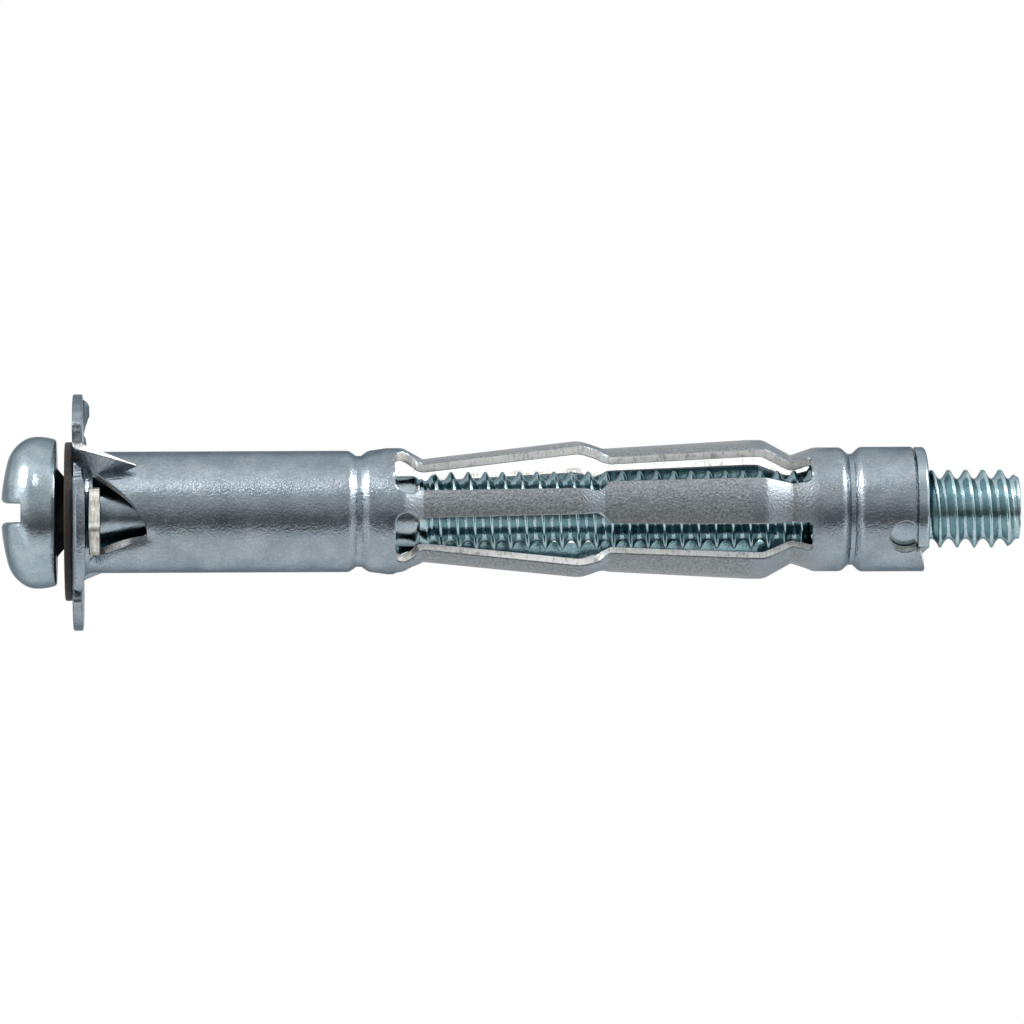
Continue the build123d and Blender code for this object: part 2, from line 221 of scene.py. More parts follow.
def scuff(material, share_along_x):
    """Dull a plated metal between places along x, given as (mm, share)."""
    tree = material.node_tree
    shader = tree.nodes["Principled BSDF"]
    place = add(tree, "ShaderNodeTexCoord").outputs["Object"]
    x = add(tree, "ShaderNodeSeparateXYZ", Vector=place).outputs["X"]
    along_span = add(tree, "ShaderNodeMapRange", None, x, 0.0, SCUFF_SPAN * MM)
    stops = [(at / SCUFF_SPAN, share) for at, share in share_along_x]
    share = add(tree, "ShaderNodeValToRGB", {"stops": stops}, along_span)
    scuffs = add(tree, "ShaderNodeTexNoise", Vector=place, Scale=1 / (SCUFF_GRAIN * MM), Detail=3.0,
                 Roughness=0.75)
    dull_tone = add(tree, "ShaderNodeValToRGB", {"stops": SCUFF_TONES}, scuffs)
    gloss, clean_tone, fine = (shader.inputs[name].links[0].from_socket
                               for name in ("Roughness", "Base Color", "Normal"))
    clean_tint = list(shader.inputs["Specular Tint"].default_value)
    rough = add(tree, "ShaderNodeMix", i0=share, i2=gloss, i3=SCUFF_ROUGH)
    tone = add(tree, "ShaderNodeMix", {"data_type": "RGBA"}, i0=share, i6=clean_tone, i7=dull_tone)
    tint = add(tree, "ShaderNodeMix", {"data_type": "RGBA"}, i0=share, i6=clean_tint, i7=linear("#ffffff"))
    pits = add(tree, "ShaderNodeBump", Height=scuffs, Strength=share, Distance=0.05 * MM, Normal=fine)
    feed(shader, Roughness=rough, Base_Color=tone.outputs[2], Specular_Tint=tint.outputs[2], Normal=pits)


scuff(zinc_sheet, SCUFFED)
print("legs scuffed from", SCUFFED[0][0], "to", SCUFFED[-1][0], "mm")

# %% [markdown]
# ## Painted neck shade and vulcanised fibre
# The screw's neck, in the gap under the head, is painted near-black and matt as shade. The washer is
# vulcanised fibre, punched from
# pressed cotton paper: dull, dark brown and slightly fibrous. Neither is a metal to the eye, and
# both are a dark ground with paler flecks, so they share a tree and differ in size and tone.

# %% Dull dark finishes
def dull_dark(name, tones, rough, bump, fleck):
    """A dull dark material with flecks of a size in mm."""
    material, tree, shader = new_material(name)
    place = add(tree, "ShaderNodeTexCoord").outputs["Object"]
    flecks = add(tree, "ShaderNodeTexNoise", Vector=place, Scale=1 / (fleck * MM), Detail=6.0,
                 Roughness=0.7)
    tone = add(tree, "ShaderNodeValToRGB", {"stops": tones}, flecks)
    lumps = add(tree, "ShaderNodeBump", Height=flecks, Strength=bump, Distance=0.05 * MM)
    feed(shader, Base_Color=tone, Normal=lumps, Roughness=rough)
    return material


# the neck's near-black is painted shade, in the gap between the head and the washer
painted_neck_shade = dull_dark("painted_neck_shade", [(0.3, "#0c0c0e"), (0.7, "#1d1d20")], rough=0.5, bump=0.2, fleck=0.3)
fibre = dull_dark("vulcanised_fibre", [(0.3, "#1a1410"), (0.55, "#2a211a"), (0.75, "#463829")], rough=0.7,
                  bump=0.6, fleck=0.25)
print("dull finishes:", painted_neck_shade.name, fibre.name)

# %% [markdown]
# ## Helpers for meshes
# Bent sheet and turned metal are both lines with rounded corners. Blender's bevel could round them,
# but a line that is rounded before it becomes a surface keeps its exact radius and an even mesh.

# %% Mesh helpers
def finished(name, verts, faces, *materials):
    """A mesh object at the origin from points in mm, with its materials."""
    mesh = bpy.data.meshes.new(name)
    mesh.from_pydata([Vector(v) * MM for v in verts], [], faces)
    piece = bpy.data.objects.new(name, mesh)
    bpy.context.collection.objects.link(piece)
    for material in materials:
        mesh.materials.append(material)
    return piece


def smooth(piece, sharp_deg=35.0):
    """Smooth shading with sharp edges past an angle."""
    piece.data.shade_smooth()
    piece.data.set_sharp_from_angle(angle=math.radians(sharp_deg))
    return piece


def turned_to(angle, x, along_y, along_z):
    """A point made on the +Y side, turned to an angle about the screw's axis."""
    a = math.radians(angle)
    return (x, along_y * math.cos(a) - along_z * math.sin(a), along_y * math.sin(a) + along_z * math.cos(a))


def reworked(piece, change):
    """Let a function change a piece's mesh, and turn its faces outwards."""
    mesh = bmesh.new()
    mesh.from_mesh(piece.data)
    change(mesh)
    bmesh.ops.recalc_face_normals(mesh, faces=mesh.faces)
    mesh.to_mesh(piece.data)
    mesh.free()
    return piece


def merged(mesh):
    """Merge points that lie on one another."""
    bmesh.ops.remove_doubles(mesh, verts=mesh.verts, dist=0.002 * MM)


def joined(pieces):
    """Join several pieces into the first."""
    mesh = bmesh.new()
    for piece in pieces:
        mesh.from_mesh(piece.data)
    mesh.to_mesh(pieces[0].data)
    mesh.free()
    for piece in pieces[1:]:
        bpy.data.objects.remove(piece)
    return pieces[0]


# %% Lines with rounded corners
def bend_at(before, corner, after, bend, step_deg):
    """Where the arc of a bend starts and ends, and the points between."""
    into = (corner - before) / np.hypot(*(corner - before))
    out = (after - corner) / np.hypot(*(after - corner))
    cross = into[0] * out[1] - into[1] * out[0]
    turn = math.atan2(cross, into @ out)
    reach = bend * math.tan(abs(turn) / 2)
    steps = max(2, math.ceil(abs(math.degrees(turn)) / step_deg)) if bend else 0
    side = np.sign(cross) * bend * np.array([-into[1], into[0]])
    start = corner - into * reach
    arc = []
    for i in range(1, steps):
        a = turn * (i / steps)
        turning = np.array([[math.cos(a), -math.sin(a)], [math.sin(a), math.cos(a)]])
        arc.append(start + side + turning @ -side)
    return start, corner + out * reach, arc


def rounded(corners, step_deg=9.0, longest=0.4):
    """Points along a line whose corners (x, y, bend radius) are rounded, in short steps."""
    points = [np.array(c[:2], float) for c in corners]
    starts, ends, arcs = [points[0]], [], []
    for before, corner, after, (_, _, bend) in zip(points, points[1:], points[2:], corners[1:]):
        arc_start, arc_end, arc = bend_at(before, corner, after, bend, step_deg)
        ends.append(arc_start)
        starts.append(arc_end)
        arcs.append(arc)
    ends.append(points[-1])
    path = []
    for start, end, arc in zip(starts, ends, arcs + [[]]):
        runs = max(1, math.ceil(np.hypot(*(end - start)) / longest))
        path += [start + (end - start) * k / runs for k in range(runs + 1)] + arc
    kept = [path[0]]
    for point in path[1:]:
        if np.hypot(*(point - kept[-1])) > 1e-6:
            kept.append(point)
    return np.array(kept)


corner_test = rounded([(0, 0, 0), (10, 0, 2), (10, 10, 0)])
print(f"a rounded corner has {len(corner_test)} points")

# %% [markdown]
# ## The sleeve's sheet line
# Seen along its length, the sleeve is one sheet that runs down the flange, turns into the barrel,
# dips into two grooves and swells into the legs' two elbows. That line, at the middle of the sheet,
# is written once, as corners with bend radii, and everything on the sleeve is placed along it.

# %% Sleeve sizes, in mm
SHEET = 0.6
BARREL_R = 3.75
FLANGE_R = 7.3
MIDDLE_R = BARREL_R - SHEET / 2
GROOVE_1_X, SHOULDER_1_X, VALLEY_1_X, ELBOW_A_X, WAIST_X = 17.0, 19.2, 20.9, 30.6, 32.4
ELBOW_B_X, VALLEY_2_X, SHOULDER_2_X, GROOVE_2_X, SLEEVE_END_X = 41.4, 43.6, 45.1, 47.3, 51.15
GROOVE_FLAT, GROOVE_SLOPE, GROOVE_DEPTH = 0.5, 0.45, 0.32
GROOVE_CREASE_R, CREASE_R, ELBOW_R, FLANGE_BEND_R = 0.22, 0.5, 1.6, 0.9
SHOULDER_FLAT, ELBOW_FLAT, STEP_LENGTH = 0.9, 0.9, 0.75
SHOULDER_1_RISE, VALLEY_1_RISE, ELBOW_RISE, WAIST_RISE = 0.15, -0.55, 0.55, 0.05
VALLEY_2_RISE, SHOULDER_2_RISE, END_RISE = -0.425, 0.075, 0.1
PAST_END = 1.0                 # the blank is this much longer, for the tab to be cut from
print(f"barrel {2 * BARREL_R} mm, flange {2 * FLANGE_R} mm, sheet {SHEET} mm")

# %% The sheet line
def groove(x, near, far):
    """A rolled groove between two heights of the sheet, as (x, rise, bend radius)."""
    start, end = x - GROOVE_FLAT / 2, x + GROOVE_FLAT / 2
    return [(start - GROOVE_SLOPE, near, GROOVE_CREASE_R), (start, -GROOVE_DEPTH, GROOVE_CREASE_R),
            (end, -GROOVE_DEPTH, GROOVE_CREASE_R), (end + GROOVE_SLOPE, far, GROOVE_CREASE_R)]


bends = [(-SHEET / 2, 0, FLANGE_BEND_R)] + groove(GROOVE_1_X, 0, 0) + [
    (SHOULDER_1_X - SHOULDER_FLAT / 2, SHOULDER_1_RISE, CREASE_R),
    (SHOULDER_1_X + SHOULDER_FLAT / 2, SHOULDER_1_RISE, CREASE_R),
    (VALLEY_1_X, VALLEY_1_RISE, CREASE_R),
    (ELBOW_A_X, ELBOW_RISE, ELBOW_R),
    (WAIST_X - STEP_LENGTH / 2, WAIST_RISE, CREASE_R),
    (ELBOW_B_X - ELBOW_FLAT / 2, ELBOW_RISE, ELBOW_R),
    (ELBOW_B_X + ELBOW_FLAT / 2, ELBOW_RISE, ELBOW_R / 2),
    (VALLEY_2_X, VALLEY_2_RISE, CREASE_R),
    (SHOULDER_2_X, SHOULDER_2_RISE, ELBOW_R / 2)] + groove(GROOVE_2_X, SHOULDER_2_RISE, END_RISE)
profile = rounded([(-SHEET / 2, FLANGE_R, 0)] + [(x, MIDDLE_R + rise, r) for x, rise, r in bends]
                  + [(SLEEVE_END_X + PAST_END, MIDDLE_R + END_RISE, 0)], longest=0.36)
along = np.concatenate([[0], np.cumsum(np.hypot(*np.diff(profile, axis=0).T))])
tube = profile[:, 0] > -SHEET / 2 + 1e-6


def length_at(x):
    """Length along the sheet to a place on the tube."""
    return np.interp(x, profile[tube, 0], along[tube])


def radius_at(x):
    """Radius of the sheet's middle there."""
    return np.interp(x, profile[tube, 0], profile[tube, 1])


print(f"sheet line: {len(profile)} points, {length_at(SLEEVE_END_X):.1f} mm long to the sleeve's end")

# %% [markdown]
# ## The flat blank's outlines
# The real sleeve is one piece of sheet: slots, windows and flange petals are punched in it and it is
# then formed. The tube could be modelled round and cut with booleans, but their edges come out
# ragged on thin sheet. So each cut is drawn as (length along the sheet, angle round it), and the
# blank is cut to outline while it is flat.

# %% Where the cuts are
LEG_COUNT, FIRST_SLOT_DEG = 5, 77.0
SEAM_DEG = 41.0                # the blank's two edges meet along the middle of a leg
BARB_DEG, GAP_DEG = 78.0, 24.0
SLIT_DEG, SLIT_OPEN_DEG = 166.0, 4.0
WINDOW_DEG, TAB_DEG = 129.0, 206.0
GIRTH = math.radians(1) * MIDDLE_R       # mm of blank for a degree round the barrel


def onto_tube(drawing, middle_deg, side=1.0):
    """A flat drawing (x, y) beside a radial plane becomes (length, angle) on the blank."""
    x, y = np.array(drawing, float).T
    return np.column_stack([length_at(x), middle_deg + side * np.degrees(np.arcsin(y / radius_at(x)))])


def from_seam(outline):
    """Bring an outline into the blank's own range of angles."""
    shift = math.floor((outline[:, 1].mean() - SEAM_DEG) / 360) * 360
    return outline - (0, shift)


print(f"a degree round the barrel is {GIRTH:.4f} mm of blank")

# %% Slots between the legs
LEG_START_W, LEG_ELBOW_W, LEG_BROAD_W = 1.8, 1.45, 2.85
HOLE_LENGTH, HOLE_WIDTH = 1.36, 3.5
STEP_CORNER_R, SLOT_CORNER_R, SLOT_END_BACK = 0.35, 0.3, 0.25
SLOT_END_Y = -0.6              # a last point on the slot's end, towards its middle


def leg_half_angle(width, rise):
    """Half the angle of the gap between legs of a given width."""
    return 180 / LEG_COUNT - math.degrees(width / 2 / (BARREL_R + rise))


def slot_outline(middle_deg):
    """A slot: a round-ended hole across its start, a wide stretch, a step and a narrow stretch."""
    wall = leg_half_angle(LEG_START_W, VALLEY_1_RISE)
    rise = (WAIST_RISE + ELBOW_RISE) / 2
    outside = BARREL_R + rise - SHEET / 2
    narrow_y = outside * math.sin(math.radians(leg_half_angle(LEG_ELBOW_W, rise) - wall))
    broad_y = outside * math.sin(math.radians(leg_half_angle(LEG_BROAD_W, rise) - wall))
    hole_r = HOLE_LENGTH / 2
    hole_y = MIDDLE_R * math.sin(HOLE_WIDTH / 2 / BARREL_R - math.radians(wall)) - hole_r
    hole = [(SHOULDER_1_X + hole_r * (1 - math.cos(a)), hole_y + hole_r * math.sin(a))
            for a in np.linspace(0, math.pi, 13)]
    slot_end_x = SHOULDER_2_X - SLOT_END_BACK
    wall_line = rounded([
        (SHOULDER_1_X + 2 * hole_r, 0, 0), (WAIST_X - STEP_LENGTH, narrow_y, STEP_CORNER_R),
        (WAIST_X, broad_y, STEP_CORNER_R), (slot_end_x, broad_y, SLOT_CORNER_R),
        (slot_end_x, SLOT_END_Y, 0)], longest=0.3)
    half = onto_tube(hole + list(wall_line), wall)
    return np.concatenate([half + (0, middle_deg), half[::-1] * (1, -1) + (0, middle_deg)])


print("a slot's outline has", len(slot_outline(FIRST_SLOT_DEG)), "points")

# %% Windows behind the tongues
WINDOW_TOP, WINDOW_TIP, WINDOW_SILL = (0.65, 2.65), (3.95, -1.05), (0.65, -2.45)
WINDOW_CROWN_SHARE, WINDOW_BULGE = 0.62, 0.65


def window_outline(middle_deg):
    """The opening that a tongue leaves behind: a shark's fin."""
    top, tip = np.array(WINDOW_TOP), np.array(WINDOW_TIP)
    chord = tip - top
    outwards = np.array([-chord[1], chord[0]]) / np.hypot(*chord)
    crown = top + chord * WINDOW_CROWN_SHARE + outwards * WINDOW_BULGE
    handle = 2 * crown - (top + tip) / 2
    curve = [(1 - t) ** 2 * top + 2 * t * (1 - t) * handle + t * t * tip for t in np.linspace(0, 1, 19)]
    straight = rounded([(*tip, 0), (*WINDOW_SILL, 0), (*top, 0)], longest=0.2)
    return onto_tube(curve + list(straight[1:-1]), middle_deg, -1.0)


print("a window's outline has", len(window_outline(WINDOW_DEG)), "points")

# %% Gaps between the flange's petals
GAP_ROOT_RISE, GAP_OVERLAP, SLIT_ROOT_RISE = 0.7, -0.43, 1.05
GAP_ROOT_CORNER_R, PETAL_CORNER_R = 0.12, 0.5
GAP_WASTE = 1.5                # how far the cut is opened where it leaves the sheet


def petal_gap(start, end, root_r, offset=0.0):
    """Gap between two petals of the flange, drawn square to the axis, with rounded corners."""
    def point(angle, radius, aside, bend=0.0):
        """A corner at an angle and a radius, moved aside."""
        return (*turned_to(angle, 0, radius, aside)[1:], bend)

    middle = point(start, root_r + 0.01, (offset + 0.1) / 2)
    drawing = rounded([
        middle,
        point(start, root_r, offset, GAP_ROOT_CORNER_R),
        point(start, FLANGE_R, offset, PETAL_CORNER_R),
        point(start, FLANGE_R, offset - GAP_WASTE),
        point(start, FLANGE_R + 1, offset - GAP_WASTE),
        point(end, FLANGE_R + 1, GAP_WASTE),
        point(end, FLANGE_R, GAP_WASTE),
        point(end, FLANGE_R, 0, PETAL_CORNER_R),
        point(end, root_r, 0, GAP_ROOT_CORNER_R),
        middle], longest=0.25)[:-1]
    angle = np.degrees(np.arctan2(drawing[:, 1], drawing[:, 0]))
    return np.column_stack([FLANGE_R - np.hypot(*drawing.T), (angle - SEAM_DEG) % 360 + SEAM_DEG])


print(f"the wide gaps open {GAP_DEG:.0f} degrees, the slits {SLIT_OPEN_DEG:.0f}")

# %% The tab at the far end, between its two reliefs
TAB_LENGTH, TAB_SHOULDER = 0.70, 0.25    # how far the tab's middle and its corners stand out
TAB_SIDE = 2.683                         # from the screw's axis to the chord under the tab
RELIEF_DEG, RELIEF_R, RELIEF_BACK = 57.5, 0.98, 0.67


def relief_outline(middle_deg):
    """Round cut beside the tab."""
    turn = np.linspace(0, 2 * math.pi, 40, endpoint=False)
    x = SLEEVE_END_X - RELIEF_BACK + RELIEF_R * np.cos(turn)
    return onto_tube(np.column_stack([x, RELIEF_R * np.sin(turn)]), middle_deg)


def waste_past_end():
    """Everything beyond the sleeve's end, but for the tab that lies over the nut's flat."""
    half_tab = math.degrees(math.acos(TAB_SIDE / (MIDDLE_R + END_RISE)))
    end, far = length_at(SLEEVE_END_X), along[-1] + 2
    nose = TAB_LENGTH - TAB_SHOULDER
    tab = [(end + TAB_SHOULDER + nose * math.cos(math.pi / 2 * k / 6), TAB_DEG + half_tab * k / 6)
           for k in range(-6, 7)]
    return np.array([(end, SEAM_DEG - 6), (end, TAB_DEG - half_tab), *tab, (end, TAB_DEG + half_tab),
                     (end, SEAM_DEG + 366), (far, SEAM_DEG + 366), (far, SEAM_DEG - 6)])


print("a relief's outline has", len(relief_outline(TAB_DEG)), "points")

# %% All the cuts
cuts = [from_seam(slot_outline(FIRST_SLOT_DEG + i * 360 / LEG_COUNT)) for i in range(LEG_COUNT)]
for opposite in (0, 180):
    slit = SLIT_DEG + opposite
    cuts.append(from_seam(window_outline(WINDOW_DEG + opposite)))
    cuts.append(petal_gap(BARB_DEG + opposite, BARB_DEG + GAP_DEG + opposite, BARREL_R + GAP_ROOT_RISE,
                          GAP_OVERLAP))
    cuts.append(petal_gap(slit - SLIT_OPEN_DEG / 2, slit + SLIT_OPEN_DEG / 2, BARREL_R + SLIT_ROOT_RISE))
cuts += [from_seam(relief_outline(TAB_DEG + side)) for side in (-RELIEF_DEG, RELIEF_DEG)]
cuts.append(waste_past_end())
print(f"{len(cuts)} outlines to punch")

# %% [markdown]
# ## Punching the blank
# A punch leaves clean edges, so the mesh needs points exactly on each outline. A triangulation that
# is held to given edges does that: it takes an even grid, the outlines, and a strip of points just
# beside them. The strip is where the rounding of each cut edge will end.

# %% Tests on points and outlines
def inside(points, outline):
    """Which points lie inside a closed outline."""
    x, y = points.T
    hit = np.zeros(len(points), bool)
    for (x0, y0), (x1, y1) in zip(outline, np.roll(outline, -1, axis=0)):
        if y0 != y1:
            hit ^= ((y0 > y) != (y1 > y)) & (x < (x1 - x0) * (y - y0) / (y1 - y0) + x0)
    return hit


def clearance(points, outline):
    """Distance of each point to the nearest edge of a closed outline."""
    nearest = np.full(len(points), 9.0)
    for start, end in zip(outline, np.roll(outline, -1, axis=0)):
        run = end - start
        share = np.clip((points - start) @ run / max(run @ run, 1e-12), 0, 1)
        nearest = np.minimum(nearest, np.hypot(*(points - start - share[:, None] * run).T))
    return nearest


def with_rows(outline, rows, longest=0.3, apart=0.04):
    """The same outline with a point wherever it crosses a row of the blank, and no long edge."""
    points = []
    for start, end in zip(outline, np.roll(outline, -1, axis=0)):
        low, high = sorted((start[0], end[0]))
        crossed = rows[(rows > low + apart) & (rows < high - apart)]
        shares = sorted([0.0] + [abs((row - start[0]) / (end[0] - start[0])) for row in crossed]) + [1.0]
        for near, far in zip(shares, shares[1:]):
            parts = max(1, math.ceil((far - near) * np.hypot(*(end - start)) / longest))
            points += [start + (end - start) * (near + (far - near) * k / parts) for k in range(parts)]
    return np.array(points)


def beside(loop, reach):
    """Points a little way outside a closed outline, opposite its own points."""
    run = np.roll(loop, -1, axis=0) - np.roll(loop, 1, axis=0)
    run /= np.maximum(np.hypot(*run.T)[:, None], 1e-9)
    x, y = loop.T
    turn = np.sign(x @ np.roll(y, -1) - y @ np.roll(x, -1))
    return loop + turn * reach * np.column_stack([run[:, 1], -run[:, 0]])


# %% Punch and triangulate
COLUMNS = 120
RIM_ROUND = 0.065              # how far the rounding of a cut edge reaches
GRID_CLEAR, STRIP_CLEAR = 1.9 * RIM_ROUND, 0.8 * RIM_ROUND


def punched_blank():
    """Triangles of the flat blank in mm, with every outline cut out."""
    columns = np.linspace(SEAM_DEG, SEAM_DEG + 360, COLUMNS + 1) * GIRTH
    rows = np.insert(along, 1, RIM_ROUND)
    grid = np.array([(s, y) for s in rows for y in columns])
    loops = [with_rows(cut * (1, GIRTH), along) for cut in cuts]
    strip = np.concatenate([beside(loop, RIM_ROUND) for loop in loops])
    on_blank = (strip[:, 0] > RIM_ROUND) & (strip[:, 0] < along[-1])
    on_blank &= (strip[:, 1] > columns[0] + 0.03) & (strip[:, 1] < columns[-1] - 0.03)
    strip = strip[on_blank]
    on_grid, on_strip = np.ones(len(grid), bool), np.ones(len(strip), bool)
    for loop in loops:
        on_grid &= ~inside(grid, loop) & (clearance(grid, loop) > GRID_CLEAR)
        on_strip &= ~inside(strip, loop) & (clearance(strip, loop) > STRIP_CLEAR)
    points = list(grid[on_grid]) + list(strip[on_strip])
    edges = []
    for loop in loops:
        first = len(points)
        points += list(loop)
        edges += [(first + i, first + (i + 1) % len(loop)) for i in range(len(loop))]
    out = geometry.delaunay_2d_cdt([Vector(p) for p in points], edges, [], 0, 1e-4)
    verts, faces = np.array([tuple(v) for v in out[0]]), np.array(out[2])
    middles = verts[faces].mean(axis=1)
    whole = (middles[:, 0] > 0) & (middles[:, 0] < along[-1])
    whole &= (middles[:, 1] > columns[0]) & (middles[:, 1] < columns[-1])
    for loop in loops:
        whole &= ~inside(middles, loop)
    used, faces = np.unique(faces[whole], return_inverse=True)
    return verts[used], faces.reshape(-1, 3)


blank_points, blank_faces = punched_blank()
print(f"blank: {len(blank_points)} points, {len(blank_faces)} triangles")

# %% [markdown]
# ## Pressed rims
# Before the sleeve is rolled, some petals get a slightly turned-up rim, and the lower edge of each
# window is pressed inwards. Both are small heights on the flat blank, so they are given to its
# points as a third coordinate, and the forming carries them along.

# %% Heights on the blank
RIM_LIPS = ((102.0, 162.0, 0.3), (282.0, 342.0, 0.3), (350.0, 377.0, 0.5))   # from, to, height
LIP_WIDTH, LIP_FADE_DEG = 0.9, 8
SILL_SUNK, SILL_WIDTH = 0.3, 0.55


def pressed_height(points):
    """How far each point of the flat blank is pressed out (or in, if negative)."""
    angles = (points[:, 1] / GIRTH - SEAM_DEG) % 360 + SEAM_DEG
    height = np.zeros(len(points))
    for start, end, rise in RIM_LIPS:
        middle, half = (start + end) / 2, (end - start) / 2
        away = np.abs((angles - middle + 180) % 360 - 180)
        height += rise * np.clip((half - away) / LIP_FADE_DEG, 0, 1) ** 0.5
    height *= np.clip(1 - points[:, 0] / LIP_WIDTH, 0, 1) ** 2
    for opposite in (0, 180):
        sill = from_seam(onto_tube([WINDOW_TIP, WINDOW_SILL], WINDOW_DEG + opposite, -1.0)) * (1, GIRTH)
        height -= SILL_SUNK * np.clip(1 - clearance(points, sill) / SILL_WIDTH, 0, 1) ** 1.3
    return height


blank_heights = pressed_height(blank_points)
print(f"pressed from {blank_heights.min():.2f} to {blank_heights.max():.2f} mm")

# %% [markdown]
# ## Forming the blank
# Rolling the blank into a tube is a rule, so Geometry Nodes does it: the distance along the sheet is
# looked up on the sheet line, which is a curve, and the girth becomes an angle. Bending with a chain
# of modifiers would stretch the sheet, and this keeps each length as it was punched.

# %% Geometry Nodes helpers
MATH = "ShaderNodeMath"
TIMES, PLUS, MINUS, OVER, TIMES_PLUS, SMALLER, LARGER, PAST, SINE, COSINE, SIZE = (
    {"operation": name} for name in ("MULTIPLY", "ADD", "SUBTRACT", "DIVIDE", "MULTIPLY_ADD", "MINIMUM",
                                     "MAXIMUM", "GREATER_THAN", "SINE", "COSINE", "ABSOLUTE"))


def new_tree(name, inputs):
    """A geometry tree with named inputs: (name, socket type, default)."""
    tree = bpy.data.node_groups.new(name, "GeometryNodeTree")
    tree.interface.new_socket("Geometry", in_out="OUTPUT", socket_type="NodeSocketGeometry")
    tree.interface.new_socket("Geometry", in_out="INPUT", socket_type="NodeSocketGeometry")
    for label, kind, default in inputs:
        socket = tree.interface.new_socket(label, in_out="INPUT", socket_type=kind)
        if default is not None:
            socket.default_value = default
    return tree, tree.nodes.new("NodeGroupInput").outputs


def set_round(tree, points, x, radius, angle):
    """Move points to a place along the screw, a radius and an angle."""
    y = add(tree, MATH, TIMES, radius, add(tree, MATH, COSINE, angle))
    z = add(tree, MATH, TIMES, radius, add(tree, MATH, SINE, angle))
    place = add(tree, "ShaderNodeCombineXYZ", None, x, y, z)
    return add(tree, "GeometryNodeSetPosition", Geometry=points, Position=place)


def finish_tree(tree, last, material):
    """End a tree with Realize Instances and Set Material."""
    real = add(tree, "GeometryNodeRealizeInstances", Geometry=last)
    coat = add(tree, "GeometryNodeSetMaterial", Geometry=real, Material=material)
    add(tree, "NodeGroupOutput", i0=coat)


def baked(piece):
    """Replace a piece's mesh by its evaluated one and drop its modifiers."""
    depsgraph = bpy.context.evaluated_depsgraph_get()
    mesh = bpy.data.meshes.new_from_object(piece.evaluated_get(depsgraph), depsgraph=depsgraph)
    piece.modifiers.clear()
    piece.data = mesh
    return piece


def grown(piece, tree, values):
    """Run a tree on a piece, keep the result as plain mesh and take the modifier off."""
    modifier = piece.modifiers.new(tree.name, "NODES")
    modifier.node_group = tree
    names = {s.name: s.identifier for s in tree.interface.items_tree if s.in_out == "INPUT"}
    for label, value in values.items():
        modifier[names[label]] = value
    return baked(piece)


# %% The forming tree
def forming_tree():
    """Flat blank in, formed sheet out."""
    tree, given = new_tree("form_blank", [
        ("Profile", "NodeSocketObject", None), ("Girth radius", "NodeSocketFloat", MIDDLE_R * MM),
        ("Material", "NodeSocketMaterial", None)])
    flat = add(tree, "ShaderNodeSeparateXYZ", Vector=add(tree, "GeometryNodeInputPosition")).outputs
    line = add(tree, "GeometryNodeObjectInfo", Object=given["Profile"]).outputs["Geometry"]
    sample = add(tree, "GeometryNodeSampleCurve", {"mode": "LENGTH", "use_all_curves": True},
                 Curves=line, Length=flat["X"])
    there = add(tree, "ShaderNodeSeparateXYZ", Vector=sample.outputs["Position"]).outputs
    heading = add(tree, "ShaderNodeSeparateXYZ", Vector=sample.outputs["Tangent"]).outputs
    angle = add(tree, MATH, OVER, flat["Y"], given["Girth radius"])
    # a pressed height stands square to the sheet, which runs along the line's heading
    radius = add(tree, MATH, TIMES_PLUS, heading["X"], flat["Z"], there["Y"])
    sunk = add(tree, MATH, TIMES, heading["Y"], flat["Z"])
    x = add(tree, MATH, MINUS, there["X"], sunk)
    finish_tree(tree, set_round(tree, given["Geometry"], x, radius, angle), given["Material"])
    return tree


def profile_curve():
    """The sheet line as a curve, x along the screw and y as the radius."""
    curve = bpy.data.curves.new("sheet_profile", "CURVE")
    curve.dimensions = "3D"
    spline = curve.splines.new("POLY")
    spline.points.add(len(profile) - 1)
    for point, (x, r) in zip(spline.points, profile):
        point.co = (x * MM, r * MM, 0, 1)
    holder = bpy.data.objects.new("sheet_profile", curve)
    bpy.context.collection.objects.link(holder)
    return holder


# %% [markdown]
# ## The formed sleeve
# The formed sheet is still a surface. Solidify gives it its 0.6 mm, and a lower thickness at the rim
# turns each cut edge into a flat with a narrow chamfer on both sides, as tumbling leaves it. A Bevel
# would be limited everywhere by the shortest edge of the mesh.

# %% The formed sleeve
OUTSIDE, CUT_EDGE, INSIDE = 0, 1, 2      # the sleeve's material slots


def thickened(piece, thickness):
    """Give a sheet its thickness and a cut-edge material, and thin it at the rim to round its edges."""
    mesh = bmesh.new()
    mesh.from_mesh(piece.data)
    rim = [vert.index for vert in mesh.verts if vert.is_boundary]
    mesh.free()
    full = piece.vertex_groups.new(name="full_thickness")
    full.add(range(len(piece.data.vertices)), 1.0, "REPLACE")
    full.add(rim, 1 - 2 * RIM_ROUND / thickness, "REPLACE")
    solid = piece.modifiers.new("thickness", "SOLIDIFY")
    solid.thickness = thickness * MM
    solid.offset = 0.0
    solid.use_even_offset = True
    solid.use_quality_normals = True
    solid.vertex_group = full.name
    solid.thickness_vertex_group = 0.0
    solid.material_offset_rim = CUT_EDGE
    return baked(piece)


def close_seam(mesh):
    """Merge the blank's two edges, and make quads of most triangles."""
    flat = math.radians(25)
    merged(mesh)
    bmesh.ops.join_triangles(mesh, faces=mesh.faces, angle_face_threshold=flat, angle_shape_threshold=flat)


